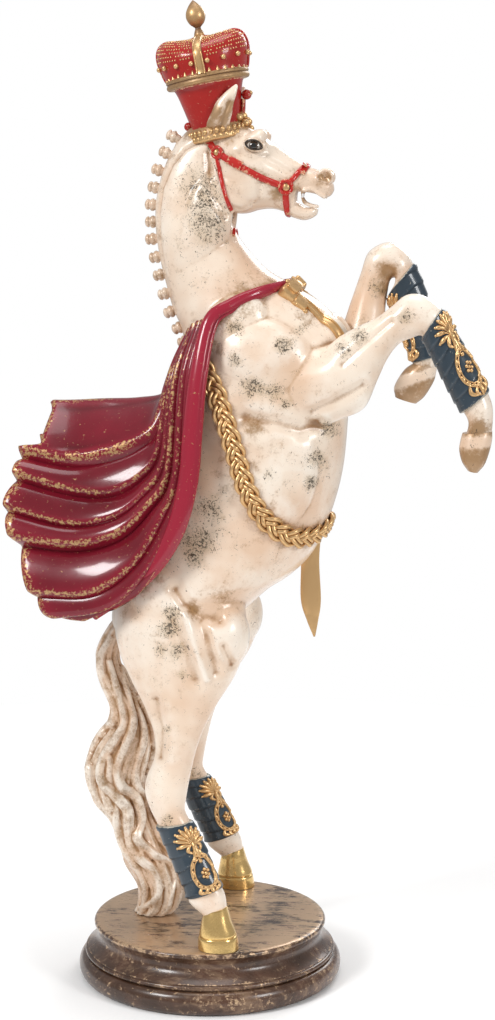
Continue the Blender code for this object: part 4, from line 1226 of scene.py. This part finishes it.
def wrap_ornament(form, grid, facing):
    """Gold work down a wrap, laid out in units below its top and to its side: a shell of nine swelling ribs over a
    stem, an oval wreath with a rosette in it, and leaves below."""
    middle = grid.mean(axis=1)
    radius = np.linalg.norm(grid - middle[:, None], axis=2).mean()

    def place(points, height):
        down, across = np.asarray(points, float).T
        return on_surface(grid, down / WRAP_LENGTH, math.radians(facing) + across / radius, height)

    def leaf(points, widest, rise, height=0.5, count=22, tip=0.5):
        """A leaf along points, widest at a share of its run."""
        points, out = place(smooth_path(points, count), height)
        share = np.linspace(0.02, 0.98, count) ** (math.log(0.5) / math.log(tip))
        width = widest * np.sin(share * math.pi) ** 0.7
        form.add(strip(points, out, width, rise * np.sin(share * math.pi) ** 0.5, 12))

    def bead(down, across, size):
        (point,), _ = place([(down, across)], 0.8)
        form.add(ovoid(point, (size,) * 3, sides=10, rows=7))

    for k in np.linspace(-1, 1, 9):
        lean = 1.75 * k
        tip = (25 - 19 * math.cos(lean * 0.92), 15 * math.sin(lean))
        leaf([(28, 0), ((28 + tip[0]) / 2 - 1, tip[1] * 0.45), tip], 2.5, 2.6, tip=0.72)
        bead(*tip, 1.5)
    for sign in (-1, 1):
        leaf([(26, sign * 2), (31, sign * 7), (36, sign * 4)], 2.2, 2, tip=0.5)
        leaf([(30, 0), (35, sign * 2), (41, sign * 5)], 2, 2)
        leaf([(66, sign * 9), (73, sign * 11), (79, sign * 6)], 2.4, 2)
        leaf([(70, sign * 2), (76, sign * 6), (81, sign * 2)], 2, 2)
    leaf([(24, 0), (32, 0), (41, 0)], 3.2, 3)
    leaf([(68, 0), (75, 0), (82, 0)], 2.8, 2.4)
    turn = np.linspace(0, 2 * math.pi, 25)
    for wide, high, thick in ((12.5, 16.5, 1.1), (9.8, 13.6, 0.8)):
        ring = smooth_path(np.stack([55 + high * np.cos(turn), wide * np.sin(turn)], 1), 80)
        points, out = place(ring, 0.6)
        form.add(strip(points, out, thick, 1.4, 10))
    for k in np.linspace(0, 2 * math.pi, 14, endpoint=False):
        spot = np.array([55 + 15.2 * math.cos(k), 11.2 * math.sin(k)])
        along = np.array([-math.sin(k), math.cos(k) * 0.7]) * 3.4
        leaf([spot - along, spot, spot + along * 1.1 + (spot - [55, 0]) * 0.08], 1.8, 2, count=8)
    for k in np.linspace(0, 2 * math.pi, 6, endpoint=False):
        bead(55 + 3.6 * math.cos(k), 3.2 * math.sin(k), 2)
    bead(55, 0, 2.2)
    bead(44, 0, 2.4)


def make_wraps(blue, gold):
    """The bandages and their gold work, one piece each for each leg."""
    for name, (rows, first, last, facing, mirror) in WRAPS.items():
        grid = wrap_surface(rows, first, last)
        if mirror:
            grid = left_foot(grid)
        work = Form()
        wrap_ornament(work, grid, facing)
        piece(name + "_wrap", Form(grid), blue, "slate_blue_lacquer", (6, 0.8), 40, tint=0)
        piece(name + "_wrap_gold", work, gold, "antique_gold", (4, 0.5))


def make_hooves(bright, flesh):
    """Hind hooves in bright gold; fore hooves cream, rubbed brown below the coronet."""
    right = sections(HIND_HOOF, 60, 56, 0.9)
    form = Form(right, mirrored(right - np.array([LEFT_FOOT_BACK, 0, 0])))
    piece("hind_hooves", form, bright, "bright_gold", (8, 1))
    form = Form(sections(NEAR_FORE_HOOF, 40, 48, 0.9), sections(FAR_FORE_HOOF, 40, 48, 0.9))
    made = mesh_object("fore_hooves", form)
    points, _ = mesh_arrays(made.data)
    band = np.minimum(np.abs(points[:, 2] - 546), np.abs(points[:, 2] - 598 - 0.35 * (points[:, 0] - 208)))
    mark(made.data, "gilding", 0.75 - 1.2 * np.exp(-((band / 6) ** 2)))
    finished(made, flesh, (8, 1.2))


def make_plinth(paint):
    """The plinth's profile turned: a crisp top disc, a hollow cove, a fillet and a round foot."""
    h = PLINTH_HEIGHT
    top = PLINTH_RADIUS - TOP_INSET
    shelf = top + SHELF
    inner = [(top * k, h) for k in (0.02, 0.3, 0.55)]
    lip = top + np.array([(-0.02, 0), (-0.004, 0), (-0.0012, -0.0001), (-0.0005, -0.0005), (0, -0.0013),
                          (-0.0001, -0.0022), (-0.0006, -0.0029)]) + [0, h - top]
    share = np.linspace(0, 1, 26)
    (x, z) = lip[-1]
    cove = np.stack([x + (shelf - x) * share**2.5 - 0.0022 * np.sin(math.pi * share), z + (COVE_END - z) * share], 1)

    def half_round(radius, reach, middle, count):
        turn = np.linspace(math.pi / 2, -math.pi / 2, count)
        return np.stack([shelf + reach * np.cos(turn), middle + radius * np.sin(turn)], 1)

    bead = half_round(BEAD, BEAD, 0.01375, 12)
    foot = half_round(FOOT, PLINTH_RADIUS - shelf, FOOT, 30)
    rings = turned(np.vstack([inner, lip, cove, bead, foot, [(shelf - 0.003, 0), (0.002, 0)]]), 200)
    made = mesh_object("turned_plinth", Form((rings - [0, 0, SEAT]) / UNIT))
    points, normals = mesh_arrays(made.data)
    mark(made.data, "top", (normals[:, 2] > 0.9) & (points[:, 2] > -2))
    finished(made, paint, (5, 0.9), 50)
    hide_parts("plinth")


def stage():
    """A pale round floor, four soft lamps, the camera of the photograph's view, and a white sky, which is seen at
    full strength and lights the horse at less."""
    floor = bpy.data.meshes.new("floor")
    rim = [(FLOOR_RADIUS * math.cos(a), FLOOR_RADIUS * math.sin(a), 0) for a in around(96)]
    floor.from_pydata(rim, [], [tuple(range(96))])
    floor = bpy.data.objects.new("floor", floor)
    bpy.context.scene.collection.objects.link(floor)
    pale = Paint("pale_floor", roughness=0.7, base_color=(0.95, 0.95, 0.95))
    floor.data.materials.append(pale.material)
    world = bpy.data.worlds.new("studio")
    world.use_nodes = True
    nodes, links = world.node_tree.nodes, world.node_tree.links
    seen = nodes.new("ShaderNodeLightPath").outputs["Is Camera Ray"]
    strength = nodes.new("ShaderNodeMapRange")
    links.new(seen, strength.inputs["Value"])
    strength.inputs["To Min"].default_value, strength.inputs["To Max"].default_value = SKY_LIGHT, 1.0
    links.new(strength.outputs["Result"], nodes["Background"].inputs["Strength"])
    nodes["Background"].inputs["Color"].default_value = (1, 1, 1, 1)
    bpy.context.scene.world = world
    for name, place, size, power in LAMPS:
        lamp = bpy.data.lights.new(name, "AREA")
        lamp.size, lamp.energy = size, power
        lamp = bpy.data.objects.new(name, lamp)
        lamp.location = place
        lamp.rotation_euler = (Vector((0, 0, 0.25)) - lamp.location).to_track_quat("-Z", "Y").to_euler()
        bpy.context.scene.collection.objects.link(lamp)
    camera = bpy.data.objects.new("camera", bpy.data.cameras.new("camera"))
    bpy.context.scene.collection.objects.link(camera)
    azimuth, heading, pitch = (math.radians(turn) for turn in (CAMERA_AZIMUTH, CAMERA_HEADING, CAMERA_PITCH))
    camera.location = (CAMERA_DISTANCE * math.sin(azimuth), -CAMERA_DISTANCE * math.cos(azimuth), CAMERA_HEIGHT)
    ahead = Vector((-math.sin(heading) * math.cos(pitch), math.cos(heading) * math.cos(pitch), -math.sin(pitch)))
    camera.rotation_euler = ahead.to_track_quat("-Z", "Y").to_euler()
    camera.data.lens, camera.data.sensor_width = CAMERA_LENS, CAMERA_SENSOR
    bpy.context.scene.camera = camera
    bpy.context.scene.view_settings.view_transform = "Standard"


def main():
    flesh_paint = ivory()
    # each lacquer's first colour is painted shade for its hollows, its second the bright colour of its raised places
    crimson = lacquer("crimson_lacquer", (0.05, 0.001, 0.003), (0.31, 0.014, 0.034), 0.8, 0.24)
    scarlet = lacquer("scarlet_lacquer", (0.17, 0.004, 0.004), (0.47, 0.02, 0.015), 0.9, 0.32, (0.75, 0.5, 0.3))
    blue = lacquer("slate_blue_lacquer", (0.012, 0.02, 0.028), (0.062, 0.09, 0.118), 1.3, 0.3, (0.5, 0.46, 0.38))
    gold = gilt("antique_gold", (0.13, 0.055, 0.02), (0.68, 0.43, 0.20), 0.75, 0.34)
    bright = gilt("bright_gold", (0.30, 0.16, 0.04), (0.80, 0.55, 0.22), 0.95, 0.18)
    body, head = make_flesh(flesh_paint)
    tree = surface_of(body, head)
    make_tail(flesh_paint)
    make_cape(tree, crimson)
    make_crown(scarlet, gold)
    make_mane(flesh_paint)
    make_bridle(tree, scarlet, gold)
    lash_paint = Paint("eye_black", base_color=(0.03, 0.018, 0.012), roughness=0.3).material
    make_eyes(eye_paint(), lash_paint, flesh_paint)
    make_girth(tree, gold)
    make_buckle(tree, gold)
    make_wraps(blue, gold)
    make_hooves(bright, flesh_paint)
    make_plinth(plinth_paint())
    stage()


main()
